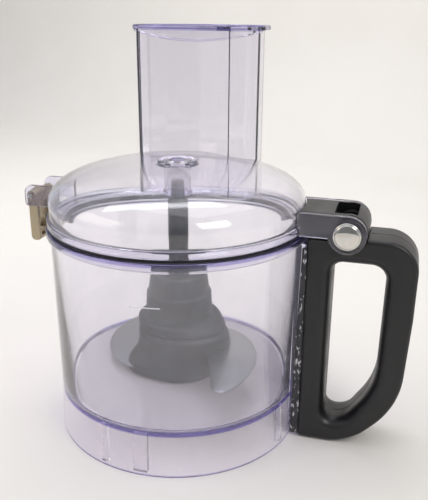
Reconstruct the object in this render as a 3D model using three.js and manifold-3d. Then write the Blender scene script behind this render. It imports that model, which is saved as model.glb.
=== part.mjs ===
// Work bowl of a food processor, with its hinged lid, feed tube, latch, handle and blade.
// Millimetres. +Z runs up the bowl's axis and +X from that axis towards the handle.
// The group is moved at the end so that its origin is under the middle of the whole object.
import * as THREE from 'three';
import { mergeVertices } from 'three/addons/utils/BufferGeometryUtils.js';
import Module from 'manifold-3d';

// ---- driving dimensions ----

// Clearances that every fit is made from
const GAP = 0.3; // between pieces that rest on or sit in each other
const RUNNING = 0.6; // between pieces that turn or slide past each other

// Work bowl
const BOWL_MOUTH_RADIUS = 98.2;
const BOWL_DRAFT = 1.1; // the wall is this much narrower at the level of the floor
const SKIRT_FLARE = 1.3; // and the skirt widens again by this much towards its foot
const BOWL_HEIGHT = 167.4;
const BOWL_WALL = 2.8;
const FLOOR_UNDERSIDE = 34.6;
const FLOOR_THICKNESS = 3;
const FLOOR_CORNER = 5;
const RIM_BEAD_DEPTH = 3.1; // how far the bead stands out from the wall
const RIM_BEAD_HEIGHT = 5.4;
const COLUMN_HEIGHT = 74.4; // above the floor
const COLUMN_TOP_RADIUS = 14.6;
const COLUMN_FOOT_RADIUS = 17.5;
const COLUMN_WALL = 2.6;
const SKIRT_RIB_DEPTH = 3.4;
const SKIRT_RIB_REPEATS = 4;

// Latch catch under the bowl's rim
const CATCH_DEPTH = 8.2;
const CATCH_WIDTH = 20;
const CATCH_THICKNESS = 5;

// Handle, held against a clear plate that stands out from the bowl
const PLATE_THICKNESS = 5.4;
const PLATE_SETBACK = 3; // of its edges from the handle's two sides
const PLATE_FOOT = 6;
const TONGUE_DEPTH = 3.8;
const TONGUE_THICKNESS = 4.4;
const HANDLE_REACH = 80; // from the plate to the outside of the grip
const HANDLE_THICKNESS = 38;
const HANDLE_FOOT = 1;
const HANDLE_EDGE = 3;
const GRIP_THICKNESS = 22;
const UPRIGHT_WALL = 3.4; // between the spring's chamber and the finger hole
const BRIDGE_WALL = 9.1; // between the hinge's cradle and the finger hole
const BELLY_BELOW_TOP = 59; // where the grip is almost at its widest
const FOOT_BAR_HEIGHT = 17.8;
const HOLE_FLARE = 6.3;
const HOLE_FLARE_DEPTH = 10;

// Hinge between the lid and the top of the handle
const PIVOT_FROM_PLATE = 28.6;
const PIVOT_ABOVE_RIM = 6.1;
const CHEEK_THICKNESS = 5;
const BARREL_RADIUS = 14.3;
const CHEEK_INSET = 0.3; // the cheeks are this much smaller than the barrel
const BLOCK_TOP_ABOVE_PIVOT = 14;
const BARREL_CHEEK = 3.8; // each side of the pocket
const POCKET_LENGTH = 16.3;
const LUG_RADIUS = 9.5;
const LUG_THICKNESS = 5.5;
const LUG_SIDE_ROOM = 1.7; // between the outer lugs and the sides of the pocket
const LUG_ROOT_DEPTH = 2.6; // how far the lugs' roots run into the handle
const LUG_RIB_THICKNESS = 3;
const HINGE_PIN_RADIUS = 4;
const CAP_RADIUS = 10;
const CAP_HEIGHT = 3.6;
const LID_SWING = 95; // degrees

// Interlock rod that the lid presses down through the handle
const ROD_RADIUS = 2.5;
const ROD_TRAVEL = 4;
const ROD_STAND_PROUD = 2; // above the handle while the lid is shut
const ROD_COLLAR_RADIUS = 4.8;
const COLLAR_CLEARANCE = 0.8; // round the collar, in the spring's chamber
const SPRING_FOOT = 22;
const SPRING_LENGTH = 20;
const SPRING_WIRE_RADIUS = 0.7;
const SPRING_COILS = 6;

// Lid
const LID_RIM_OVERHANG = 2.2; // outside the bowl's wall
const LID_RIM_ABOVE_BOWL = 2.6; // room for the gasket
const LID_RIM_THICKNESS = 5.5;
const LID_RIM_LEDGE = 1.9; // outside the lid's side wall
const LID_WALL = 2.7;
const LID_SHOULDER_HEIGHT = 16; // from the rim flange's underside to where the side turns in
const LID_HEIGHT = 43; // from the rim flange's underside to the middle of the dome
const LID_PLUG_WALL = 2.2;
const LID_PLUG_DEPTH = 4.5;
const BOSS_FLANGE_RADIUS = 15;
const BOSS_FLANGE_RISE = 2;
const BOSS_HOLE_RADIUS = 6.1;
const BOSS_CLEARANCE = 0.8; // round the stem
const BOSS_WALL = 1.6;
const BOSS_DEPTH = 25; // from the top of its flange to its lower end
const GASKET_LIP = 2.2;
const GASKET_LIP_THICKNESS = 1.1;

// Feed tube
const TUBE_HALF_WIDTH = 50.5;
const TUBE_DEPTH = 48; // from the back wall to the foremost point of the front wall
const TUBE_RECESS = 15; // how far the middle of the front wall stands back
const TUBE_BACK_SETBACK = 3.2; // inside the lid's plug
const TUBE_WALL = 2.6;
const TUBE_FOOT_ABOVE_RIM = 8;
const TUBE_HEIGHT = 141; // above the lid's rim flange
const TUBE_FLANGE = 4.3;
const TUBE_FLANGE_THICKNESS = 3.5;
const TUBE_APRON_DROP = 7;

// Latch
const LATCH_PIN_FROM_SIDE = 20.3; // from the lid's side wall
const LATCH_PIN_ABOVE_RIM = 11;
const LATCH_PIN_RADIUS = 1.6;
const EAR_SPACING = 28.6; // between the inner faces of the two ears
const EAR_THICKNESS = 3;
const EAR_TOP_ABOVE_PIN = 9.5;
const EAR_FOOT_BELOW_PIN = 8;
const LEVER_TAIL = 10.4; // below the hook
const LEVER_DEPTH = 7;
const LEVER_METAL = 2;
const LEVER_BARREL_RADIUS = 4;
const HOOK_BELOW_CATCH = 2.2;
const HOOK_STANDOFF = 2.1; // between the hook's tip and the catch while the latch hangs free
const HOOK_THICKNESS = 2.4;
const HOOK_WIDTH = 16;

// Blade assembly
const HUB_FLOAT = 1.6; // above the bowl's floor
const HUB_BORE_CLEARANCE = 1.6;
const HUB_FOOT_WALL = 12.9;
const HUB_WAIST_RADIUS = 27;
const HUB_NECK_RADIUS = 23;
const HUB_WAIST_ABOVE_FLOOR = 53.4;
const HUB_CEILING_GAP = 1; // over the top of the bowl's column
const HUB_ROOF = 3; // over the drive insert
const LOBE_RADIUS = 20;
const LOBE_OFFSET = 21.5;
const INSERT_HEIGHT = 8;
const INSERT_BORE_RADIUS = 5.2;
const STEM_RADIUS = 7.8;
const STEM_TAPER = 3.4; // from the stem's radius to its tip's
const STEM_SHOULDER_BELOW_BOSS = 5;
const STEM_REACH_IN_BOSS = 10;
const STEM_COLLAR_RADIUS = 12;
const BLADE_THICKNESS = 1.6;
const BLADE_WALL_CLEARANCE = 6.3;
const BLADE_HEEL_RADIUS = 41;
const BLADE_ROOT_WALL = 3.9; // between the hub's bore and the blades' roots
const BLADE_SWEEP = 100; // degrees from heel to tip
const BLADE_HEEL_ANGLE = 47; // degrees from +X
const UPPER_BLADE_ABOVE_FLOOR = 23.1;
const LOWER_BLADE_ABOVE_FLOOR = 6.9;

// Handle screws
const LOWER_SCREW_ACROSS = 26; // from the plate
const UPPER_SCREW_PAST_PIVOT = 27.4;
const SCREW_HEAD_RADIUS = 3.1;
const SCREW_HEAD_HEIGHT = 2.2;
const SCREW_SHANK_RADIUS = 1.6;
const SCREW_LENGTH = 24;
const SCREW_SUNK = 2;

const ROUND_STEPS = 48; // facets round the bowl and the lid
const SMALL_STEPS = 24; // facets round pins, bosses and rods

// ---- places worked out from the driving dimensions ----

const BOWL_WAIST_RADIUS = BOWL_MOUTH_RADIUS - BOWL_DRAFT;
const BOWL_FOOT_RADIUS = BOWL_WAIST_RADIUS + SKIRT_FLARE;
const FLOOR_TOP = FLOOR_UNDERSIDE + FLOOR_THICKNESS;
const COLUMN_TOP = FLOOR_TOP + COLUMN_HEIGHT;
const BEAD_FOOT = BOWL_HEIGHT - RIM_BEAD_HEIGHT;
const CATCH_REACH = BOWL_MOUTH_RADIUS + CATCH_DEPTH;
const CATCH_FOOT = BEAD_FOOT - CATCH_THICKNESS + 1;
const PLATE_FACE = BOWL_MOUTH_RADIUS + PLATE_THICKNESS;
const HANDLE_FACE = PLATE_FACE + GAP;
const PIVOT_X = HANDLE_FACE + PIVOT_FROM_PLATE;
const PIVOT_Z = BOWL_HEIGHT + PIVOT_ABOVE_RIM;
const HALF_HANDLE = HANDLE_THICKNESS / 2;
const CHEEK_INSIDE = HALF_HANDLE + GAP;
const CHEEK_OUTSIDE = CHEEK_INSIDE + CHEEK_THICKNESS;
const CHEEK_RADIUS = BARREL_RADIUS - CHEEK_INSET;
const POCKET_WIDTH = HANDLE_THICKNESS - 2 * BARREL_CHEEK;
const LUG_SPACING = POCKET_WIDTH - 2 * LUG_SIDE_ROOM - LUG_THICKNESS;
const LID_RIM_RADIUS = BOWL_MOUTH_RADIUS + LID_RIM_OVERHANG;
const LID_SIDE_RADIUS = LID_RIM_RADIUS - LID_RIM_LEDGE;
const MOUTH_INSIDE = BOWL_MOUTH_RADIUS - BOWL_WALL;
const LID_PLUG_RADIUS = MOUTH_INSIDE - RUNNING - GASKET_LIP_THICKNESS - GAP;
const TUBE_BACK_RADIUS = LID_PLUG_RADIUS - LID_PLUG_WALL - TUBE_BACK_SETBACK;
const TUBE_FRONT = TUBE_BACK_RADIUS - TUBE_DEPTH;
const LID_UNDERSIDE = BOWL_HEIGHT + LID_RIM_ABOVE_BOWL;
const LID_TOP = LID_UNDERSIDE + LID_HEIGHT;
const BOSS_TOP = LID_TOP + BOSS_FLANGE_RISE;
const BOSS_BORE_RADIUS = STEM_RADIUS + BOSS_CLEARANCE;
const STEM_TIP_RADIUS = STEM_RADIUS - STEM_TAPER;
const TUBE_TOP = LID_UNDERSIDE + TUBE_HEIGHT;
const LATCH_X = -(LID_SIDE_RADIUS + LATCH_PIN_FROM_SIDE);
const LATCH_Z = LID_UNDERSIDE + LATCH_PIN_ABOVE_RIM;
const SPRING_CHAMBER_RADIUS = ROD_COLLAR_RADIUS + COLLAR_CLEARANCE;
const ROD_X = HANDLE_FACE + TONGUE_DEPTH + 2 * GAP + SPRING_CHAMBER_RADIUS;
const UPRIGHT_FACE = ROD_X + SPRING_CHAMBER_RADIUS + UPRIGHT_WALL;
const CRADLE_RADIUS = BARREL_RADIUS + RUNNING;
const HOLE_TOP = PIVOT_Z - CRADLE_RADIUS - BRIDGE_WALL;
const HANDLE_TOP_INNER = BOWL_HEIGHT - GAP; // below the hinge block
const HANDLE_TOP_OUTER = PIVOT_Z - 3.5; // beyond the hinge barrel
const HOOK_TOP = CATCH_FOOT - HOOK_BELOW_CATCH;
const HUB_WAIST_HEIGHT = FLOOR_TOP + HUB_WAIST_ABOVE_FLOOR;
const INSERT_FOOT = COLUMN_TOP + HUB_CEILING_GAP;
const INSERT_RADIUS = COLUMN_TOP_RADIUS - COLUMN_WALL;
const HUB_HEIGHT = INSERT_FOOT + INSERT_HEIGHT + HUB_ROOF;
const HUB_BORE_RADIUS = COLUMN_FOOT_RADIUS + 2 + HUB_BORE_CLEARANCE;
const HUB_FOOT_RADIUS = HUB_BORE_RADIUS + HUB_FOOT_WALL;
const UPPER_BLADE_LEVEL = FLOOR_TOP + UPPER_BLADE_ABOVE_FLOOR;
const LOWER_BLADE_LEVEL = FLOOR_TOP + LOWER_BLADE_ABOVE_FLOOR;
const BLADE_ROOT_RADIUS = HUB_BORE_RADIUS + BLADE_ROOT_WALL;
const BLADE_TIP_RADIUS = BOWL_WAIST_RADIUS - BOWL_WALL - BLADE_WALL_CLEARANCE;
// Handle screws by name, at [x, z]: in the middle of the foot bar, of the grip and of the top bar
const SCREW_PLACES = {
  lower: [HANDLE_FACE + LOWER_SCREW_ACROSS, HANDLE_FOOT + (FOOT_BAR_HEIGHT - HOLE_FLARE) / 2],
  grip: [HANDLE_FACE + HANDLE_REACH - (GRIP_THICKNESS - HOLE_FLARE) / 2, (HOLE_TOP + HANDLE_FOOT + 50) / 2],
  upper: [PIVOT_X + UPPER_SCREW_PAST_PIVOT, (HOLE_TOP + HOLE_FLARE + HANDLE_TOP_OUTER) / 2],
};

const degrees = THREE.MathUtils.degToRad;

const wasm = await Module();
wasm.setup();

// ---- solids ----

// A closed three.js geometry as a solid that can be joined and cut.
function toSolid(geometry) {
  const bare = geometry.clone();
  bare.deleteAttribute('normal');
  bare.deleteAttribute('uv');
  const merged = mergeVertices(bare, 1e-4);
  const vertProperties = merged.attributes.position.array;
  const triVerts = new Uint32Array(merged.index.array);
  return new wasm.Manifold(new wasm.Mesh({ numProp: 3, vertProperties, triVerts }));
}

function toGeometry(solid) {
  const mesh = solid.getMesh();
  const geometry = new THREE.BufferGeometry();
  geometry.setAttribute('position', new THREE.BufferAttribute(mesh.vertProperties, 3));
  geometry.setIndex(new THREE.BufferAttribute(mesh.triVerts, 1));
  geometry.computeVertexNormals();
  return geometry;
}

function join(...solids) {
  return solids.reduce((whole, solid) => whole.add(solid));
}

function cut(solid, ...tools) {
  return tools.reduce((left, tool) => left.subtract(tool), solid);
}

// A profile of [radius, height] turned about Z. It goes up its outside and down its inside.
function turned(profile, steps = ROUND_STEPS) {
  const points = profile.map(([radius, height]) => new THREE.Vector2(radius, height));
  const onAxis = points[0].x === 0 && points.at(-1).x === 0;
  if (!onAxis) points.push(points[0].clone());
  return toSolid(new THREE.LatheGeometry(points, steps).rotateX(Math.PI / 2));
}

function box([xLow, xHigh], [yLow, yHigh], [zLow, zHigh]) {
  const geometry = new THREE.BoxGeometry(xHigh - xLow, yHigh - yLow, zHigh - zLow);
  return toSolid(geometry.translate((xLow + xHigh) / 2, (yLow + yHigh) / 2, (zLow + zHigh) / 2));
}

function pillar(radius, [x, y], [zLow, zHigh], steps = SMALL_STEPS) {
  const geometry = new THREE.CylinderGeometry(radius, radius, zHigh - zLow, steps);
  return toSolid(geometry.rotateX(Math.PI / 2).translate(x, y, (zLow + zHigh) / 2));
}

// A round bar along Y
function crossBar(radius, [x, z], [yLow, yHigh], steps = SMALL_STEPS) {
  const geometry = new THREE.CylinderGeometry(radius, radius, yHigh - yLow, steps);
  return toSolid(geometry.translate(x, (yLow + yHigh) / 2, z));
}

// An outline in plan, raised from one height to another
function raised(shape, [zLow, zHigh], curveSegments = 4) {
  const settings = { depth: zHigh - zLow, bevelEnabled: false, curveSegments };
  return toSolid(new THREE.ExtrudeGeometry(shape, settings).translate(0, 0, zLow));
}

// An outline seen from the front, its points being [x, z], carried from one y to another
function acrossY(shape, [yLow, yHigh], bevel = {}) {
  const settings = { depth: yHigh - yLow, bevelEnabled: false, curveSegments: 5, ...bevel };
  const geometry = new THREE.ExtrudeGeometry(shape, settings);
  return toSolid(geometry.rotateX(Math.PI / 2).translate(0, yHigh, 0));
}

// A closed outline through corners [x, y, rounding]
function outline(corners) {
  const shape = new THREE.Shape();
  corners.forEach(([x, y, rounding = 0], i) => {
    const corner = new THREE.Vector2(x, y);
    const back = new THREE.Vector2(...corners.at(i - 1)).sub(corner);
    const ahead = new THREE.Vector2(...corners[(i + 1) % corners.length]).sub(corner);
    const half = back.angleTo(ahead) / 2;
    const setback = Math.min(rounding / Math.tan(half), back.length() * 0.48, ahead.length() * 0.48);
    const start = corner.clone().addScaledVector(back.normalize(), setback);
    const end = corner.clone().addScaledVector(ahead.normalize(), setback);
    if (i === 0) shape.moveTo(start.x, start.y);
    else shape.lineTo(start.x, start.y);
    if (setback > 0) shape.quadraticCurveTo(x, y, end.x, end.y);
  });
  shape.closePath();
  return shape;
}

// The same corners moved outwards by a distance, or inwards by a negative one.
// The corners run anticlockwise.
function grown(corners, distance) {
  return corners.map(([x, y, rounding = 0], i) => {
    const corner = new THREE.Vector2(x, y);
    const back = corner.clone().sub(new THREE.Vector2(...corners.at(i - 1))).normalize();
    const ahead = new THREE.Vector2(...corners[(i + 1) % corners.length]).sub(corner).normalize();
    const normalSum = new THREE.Vector2(back.y + ahead.y, -back.x - ahead.x);
    const moved = corner.addScaledVector(normalSum, distance / (1 + back.dot(ahead)));
    return [moved.x, moved.y, Math.max(0, rounding + distance)];
  });
}

function rotatedAboutZ(solid, angle) {
  return solid.rotate([0, 0, angle]);
}

// ---- work bowl ----

function skirtRib(fromAngle, toAngle) {
  const inside = BOWL_WAIST_RADIUS - BOWL_WALL;
  const shape = new THREE.Shape();
  shape.absarc(0, 0, inside + 1.5, degrees(fromAngle), degrees(toAngle), false);
  shape.absarc(0, 0, inside - SKIRT_RIB_DEPTH, degrees(toAngle), degrees(fromAngle), true);
  return raised(shape, [2, FLOOR_UNDERSIDE + 1], 3);
}

function workBowl() {
  const beadRadius = BOWL_MOUTH_RADIUS + RIM_BEAD_DEPTH;
  const waistInside = BOWL_WAIST_RADIUS - BOWL_WALL;
  const shell = turned([
    [BOWL_FOOT_RADIUS, 0],
    [BOWL_WAIST_RADIUS, FLOOR_UNDERSIDE],
    [BOWL_MOUTH_RADIUS, BEAD_FOOT - 1.5],
    [beadRadius - 0.6, BEAD_FOOT],
    [beadRadius, BEAD_FOOT + 1.6],
    [beadRadius, BOWL_HEIGHT - 1],
    [beadRadius - 1, BOWL_HEIGHT],
    [MOUTH_INSIDE + 0.5, BOWL_HEIGHT],
    [MOUTH_INSIDE, BOWL_HEIGHT - 1],
    [waistInside, FLOOR_TOP + FLOOR_CORNER],
    [waistInside - FLOOR_CORNER * 0.3, FLOOR_TOP + FLOOR_CORNER * 0.3],
    [waistInside - FLOOR_CORNER, FLOOR_TOP],
    [COLUMN_FOOT_RADIUS + 2, FLOOR_TOP],
    [COLUMN_FOOT_RADIUS, FLOOR_TOP + 2],
    [COLUMN_TOP_RADIUS, COLUMN_TOP - 1],
    [COLUMN_TOP_RADIUS - 1, COLUMN_TOP],
    [COLUMN_TOP_RADIUS - COLUMN_WALL, COLUMN_TOP],
    [COLUMN_FOOT_RADIUS - COLUMN_WALL, FLOOR_UNDERSIDE],
    [waistInside, FLOOR_UNDERSIDE],
    [BOWL_FOOT_RADIUS - BOWL_WALL, 0],
  ]);
  const halfPlate = HALF_HANDLE - PLATE_SETBACK;
  const plateInside = BOWL_WAIST_RADIUS - 1.6;
  const plate = box([plateInside, PLATE_FACE], [-halfPlate, halfPlate], [PLATE_FOOT, BEAD_FOOT]);
  const halfTongue = TONGUE_THICKNESS / 2;
  const tongue = box(
    [PLATE_FACE - 1, PLATE_FACE + TONGUE_DEPTH],
    [-halfTongue, halfTongue],
    [PLATE_FOOT + 4, BEAD_FOOT - 10],
  );
  const catchSides = [-CATCH_WIDTH / 2, CATCH_WIDTH / 2];
  const latchCatch = box([-CATCH_REACH, 1 - BOWL_MOUTH_RADIUS], catchSides, [CATCH_FOOT, BEAD_FOOT + 1]);
  const ribs = [];
  for (let i = 0; i < SKIRT_RIB_REPEATS; i += 1) {
    const turn = (i * 360) / SKIRT_RIB_REPEATS;
    ribs.push(skirtRib(turn - 109, turn - 106.6), skirtRib(turn - 92.6, turn - 86.2));
  }
  return join(shell, plate, tongue, latchCatch, ...ribs);
}

// ---- handle ----

// Corners of the handle's outside, anticlockwise
function handleCorners() {
  const outside = HANDLE_FACE + HANDLE_REACH;
  const foot = HANDLE_FOOT;
  return [
    [HANDLE_FACE, foot, 1],
    [HANDLE_FACE + 40, foot, 32],
    [outside - 4, foot + 38, 80],
    [outside - 0.5, HANDLE_TOP_OUTER - BELLY_BELOW_TOP, 60],
    [outside, HANDLE_TOP_OUTER, 21],
    [HANDLE_FACE, HANDLE_TOP_OUTER, 1],
  ];
}

// Corners of the finger hole at its narrowest, anticlockwise
function fingerHole() {
  const left = UPRIGHT_FACE;
  const right = HANDLE_FACE + HANDLE_REACH - GRIP_THICKNESS;
  const foot = HANDLE_FOOT + FOOT_BAR_HEIGHT;
  const top = HOLE_TOP;
  return [
    [left, foot, 8],
    [left + 16, foot, 20],
    [right - 1.5, foot + 32, 60],
    [right, top, 11],
    [left, top, 8],
  ];
}

function handleBody() {
  const half = HALF_HANDLE;
  const rounded = {
    bevelEnabled: true,
    bevelSize: HANDLE_EDGE,
    bevelThickness: HANDLE_EDGE,
    bevelSegments: 2,
  };
  const flared = {
    bevelEnabled: true,
    bevelSize: HOLE_FLARE,
    bevelThickness: HOLE_FLARE_DEPTH,
    bevelSegments: 3,
  };
  const inset = outline(grown(handleCorners(), -HANDLE_EDGE));
  const body = acrossY(inset, [HANDLE_EDGE - half, half - HANDLE_EDGE], rounded);
  const hole = outline(fingerHole());
  const through = acrossY(hole, [-half - 1, half + 1]);
  const frontFlare = acrossY(hole, [-half - 2, -half], flared);
  const rearFlare = acrossY(hole, [half, half + 2], flared);
  const cradle = crossBar(CRADLE_RADIUS, [PIVOT_X, PIVOT_Z], [-half - 1, half + 1], 48);
  const step = box([0, PIVOT_X], [-half - 1, half + 1], [HANDLE_TOP_INNER, PIVOT_Z * 2]);
  return join(cut(body, through, frontFlare, rearFlare, cradle, step), hingeLugs());
}

// Three lugs that rise from the handle round the hinge pin.
// Their roots point down towards the bowl, so that the lid's barrel can swing past them.
function hingeLugs() {
  const around = (radius, angle) => [
    PIVOT_X + radius * Math.cos(degrees(angle)),
    PIVOT_Z + radius * Math.sin(degrees(angle)),
  ];
  const rootEnd = CRADLE_RADIUS + LUG_ROOT_DEPTH;
  const root = outline([
    around(rootEnd, -149),
    around(rootEnd, -121),
    around(LUG_RADIUS * 0.85, -97),
    around(LUG_RADIUS * 0.7, -157),
  ]);
  const pinHole = crossBar(HINGE_PIN_RADIUS + GAP, [PIVOT_X, PIVOT_Z], [-HALF_HANDLE, HALF_HANDLE]);
  const outer = LUG_THICKNESS / 2;
  const places = [
    [-LUG_SPACING / 2, outer],
    [0, LUG_RIB_THICKNESS / 2],
    [LUG_SPACING / 2, outer],
  ];
  const lugs = places.map(([y, half]) => {
    const disc = crossBar(LUG_RADIUS, [PIVOT_X, PIVOT_Z], [y - half, y + half]);
    return join(disc, acrossY(root, [y - half, y + half]));
  });
  return cut(join(...lugs), pinHole);
}

function handleCavities() {
  const rodPlace = [ROD_X, 0];
  const bore = pillar(ROD_RADIUS + RUNNING, rodPlace, [-1, BOWL_HEIGHT + 20]);
  const chamberTop = SPRING_FOOT + SPRING_LENGTH + ROD_TRAVEL + 8;
  const chamber = pillar(SPRING_CHAMBER_RADIUS, rodPlace, [SPRING_FOOT - 1, chamberTop]);
  const halfTongue = TONGUE_THICKNESS / 2 + GAP;
  const groove = box(
    [HANDLE_FACE - 1, PLATE_FACE + TONGUE_DEPTH + GAP],
    [-halfTongue, halfTongue],
    [PLATE_FOOT + 4 - GAP, BEAD_FOOT - 10 + GAP],
  );
  const screws = Object.values(SCREW_PLACES).map((at) => {
    const headFace = HALF_HANDLE - SCREW_SUNK;
    const shank = crossBar(SCREW_SHANK_RADIUS + GAP, at, [headFace - SCREW_LENGTH - 1, headFace], 12);
    const headSeat = headFace - SCREW_HEAD_HEIGHT - GAP;
    return join(shank, crossBar(SCREW_HEAD_RADIUS + GAP, at, [headSeat, HALF_HANDLE + 1], 16));
  });
  return [bore, chamber, groove, ...screws];
}

function handleShells() {
  const whole = cut(handleBody(), ...handleCavities());
  const wide = [0, PIVOT_X * 3];
  const high = [-10, PIVOT_Z * 2];
  const front = cut(whole, box(wide, [-GAP / 2, 100], high));
  const rear = cut(whole, box(wide, [-100, GAP / 2], high));
  return { front, rear };
}

function handleScrew(at) {
  const headFace = HALF_HANDLE - SCREW_SUNK;
  const head = crossBar(SCREW_HEAD_RADIUS, at, [headFace - SCREW_HEAD_HEIGHT, headFace], 16);
  const shank = crossBar(SCREW_SHANK_RADIUS, at, [headFace - SCREW_LENGTH, headFace - 1], 12);
  return join(head, shank);
}

// ---- interlock ----

function interlockRod() {
  const top = HANDLE_TOP_INNER + ROD_STAND_PROUD;
  const collarFoot = SPRING_FOOT + SPRING_LENGTH + GAP;
  return turned(
    [
      [0, HANDLE_FOOT + 2],
      [ROD_RADIUS - 0.6, HANDLE_FOOT + 2],
      [ROD_RADIUS, HANDLE_FOOT + 2.6],
      [ROD_RADIUS, collarFoot],
      [ROD_COLLAR_RADIUS, collarFoot],
      [ROD_COLLAR_RADIUS, collarFoot + 2.6],
      [ROD_RADIUS, collarFoot + 2.6],
      [ROD_RADIUS, top - 0.8],
      [ROD_RADIUS - 0.8, top],
      [0, top],
    ],
    16,
  ).translate([ROD_X, 0, 0]);
}

class Coil extends THREE.Curve {
  constructor(radius, foot, length, turns) {
    super();
    Object.assign(this, { radius, foot, length, turns });
  }
  getPoint(t, target = new THREE.Vector3()) {
    const angle = t * this.turns * 2 * Math.PI;
    const height = this.foot + t * this.length;
    return target.set(ROD_X + this.radius * Math.cos(angle), this.radius * Math.sin(angle), height);
  }
}

function interlockSpring() {
  const radius = ROD_RADIUS + RUNNING + SPRING_WIRE_RADIUS + 0.4;
  const end = SPRING_WIRE_RADIUS + GAP;
  const path = new Coil(radius, SPRING_FOOT + end - 1, SPRING_LENGTH - 2 * end + 1, SPRING_COILS);
  const wire = new THREE.Shape().absarc(0, 0, SPRING_WIRE_RADIUS, 0, 2 * Math.PI, false);
  const settings = { extrudePath: path, steps: SPRING_COILS * 12, curveSegments: 3, bevelEnabled: false };
  return toSolid(new THREE.ExtrudeGeometry(wire, settings));
}

// ---- lid ----

// Height of the dome's outside above the rim flange's underside, at a radius.
// A steep shoulder runs into a shallow crown.
function domeHeight(radius) {
  const share = Math.min(1, radius / LID_SIDE_RADIUS);
  const rise = LID_HEIGHT - LID_SHOULDER_HEIGHT;
  return LID_SHOULDER_HEIGHT + rise * (1 - share ** 3.1) ** 0.5;
}

function lidProfile() {
  const under = LID_UNDERSIDE;
  const flangeTop = under + LID_RIM_THICKNESS;
  const radii = [1, 0.98, 0.94, 0.88, 0.78, 0.62, 0.4];
  const outside = radii.map((share) => {
    const radius = share * LID_SIDE_RADIUS;
    return [radius, under + domeHeight(radius)];
  });
  const inside = radii.map((share) => {
    const radius = share * (LID_SIDE_RADIUS - LID_WALL);
    return [radius, under + domeHeight(share * LID_SIDE_RADIUS) - LID_WALL * (1.25 - share ** 3 * 0.6)];
  });
  const bossOuter = BOSS_BORE_RADIUS + BOSS_WALL;
  const bossFoot = BOSS_TOP - BOSS_DEPTH;
  const ceiling = LID_TOP - LID_WALL;
  const plugInside = LID_PLUG_RADIUS - LID_PLUG_WALL;
  return [
    [LID_RIM_RADIUS - 0.6, under],
    [LID_RIM_RADIUS, under + 0.8],
    [LID_RIM_RADIUS, flangeTop - 0.8],
    [LID_RIM_RADIUS - 0.6, flangeTop],
    [LID_SIDE_RADIUS, flangeTop + 0.4],
    ...outside,
    [BOSS_FLANGE_RADIUS + 0.4, LID_TOP],
    [BOSS_FLANGE_RADIUS, BOSS_TOP - 0.4],
    [BOSS_FLANGE_RADIUS - 0.6, BOSS_TOP],
    [BOSS_HOLE_RADIUS + 0.5, BOSS_TOP],
    [BOSS_HOLE_RADIUS, BOSS_TOP - 0.5],
    [BOSS_HOLE_RADIUS, ceiling - 0.6],
    [BOSS_BORE_RADIUS, ceiling - 1.6],
    [BOSS_BORE_RADIUS, bossFoot],
    [bossOuter + 1, bossFoot],
    [bossOuter + 1, bossFoot + 2.2],
    [bossOuter, bossFoot + 2.8],
    [bossOuter, ceiling - 1],
    [bossOuter + 2, ceiling],
    ...inside.reverse(),
    [LID_SIDE_RADIUS - LID_WALL, flangeTop],
    [plugInside, under + 2.8],
    [plugInside, under - LID_PLUG_DEPTH],
    [LID_PLUG_RADIUS, under - LID_PLUG_DEPTH],
    [LID_PLUG_RADIUS, under],
  ];
}

// One of the two arms that reach from the lid to the hinge pin
function hingeArm(yRange) {
  const top = PIVOT_Z + CHEEK_RADIUS;
  const inside = LID_SIDE_RADIUS - LID_WALL - 1.2;
  const bar = box([inside, PIVOT_X], yRange, [LID_UNDERSIDE, top]);
  const end = crossBar(CHEEK_RADIUS, [PIVOT_X, PIVOT_Z], yRange, 40);
  const hole = crossBar(HINGE_PIN_RADIUS + GAP, [PIVOT_X, PIVOT_Z], [yRange[0] - 1, yRange[1] + 1]);
  return cut(join(bar, end), hole);
}

// One of the two ears that carry the latch
function latchEar(yRange) {
  const outside = LATCH_X - 4.7;
  const inside = 3.6 - LID_SIDE_RADIUS;
  const top = LATCH_Z + EAR_TOP_ABOVE_PIN;
  const foot = LATCH_Z - EAR_FOOT_BELOW_PIN;
  const shape = outline([
    [outside, foot, 3],
    [inside, foot, 0],
    [inside, top, 0],
    [outside, top, 6],
  ]);
  const hole = crossBar(LATCH_PIN_RADIUS + GAP, [LATCH_X, LATCH_Z], [yRange[0] - 1, yRange[1] + 1], 16);
  return cut(acrossY(shape, yRange), hole);
}

function lidCover() {
  const earInside = EAR_SPACING / 2;
  const earOutside = earInside + EAR_THICKNESS;
  const cover = join(
    turned(lidProfile()),
    hingeArm([-CHEEK_OUTSIDE, -CHEEK_INSIDE]),
    hingeArm([CHEEK_INSIDE, CHEEK_OUTSIDE]),
    latchEar([-earOutside, -earInside]),
    latchEar([earInside, earOutside]),
  );
  const throat = raised(outline(grown(tubeCorners(), GAP)), [LID_UNDERSIDE + 4, TUBE_TOP]);
  return cut(cover, throat);
}

function lidGasket() {
  const inside = LID_PLUG_RADIUS + GAP;
  const outside = LID_RIM_RADIUS - 0.8;
  const lip = inside + GASKET_LIP_THICKNESS;
  return turned([
    [lip, BOWL_HEIGHT - GASKET_LIP],
    [lip + 0.1, BOWL_HEIGHT + GAP],
    [outside, BOWL_HEIGHT + GAP],
    [outside, LID_UNDERSIDE - GAP],
    [inside, LID_UNDERSIDE - GAP],
    [inside, BOWL_HEIGHT - GASKET_LIP],
  ]);
}

// ---- feed tube ----

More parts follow.
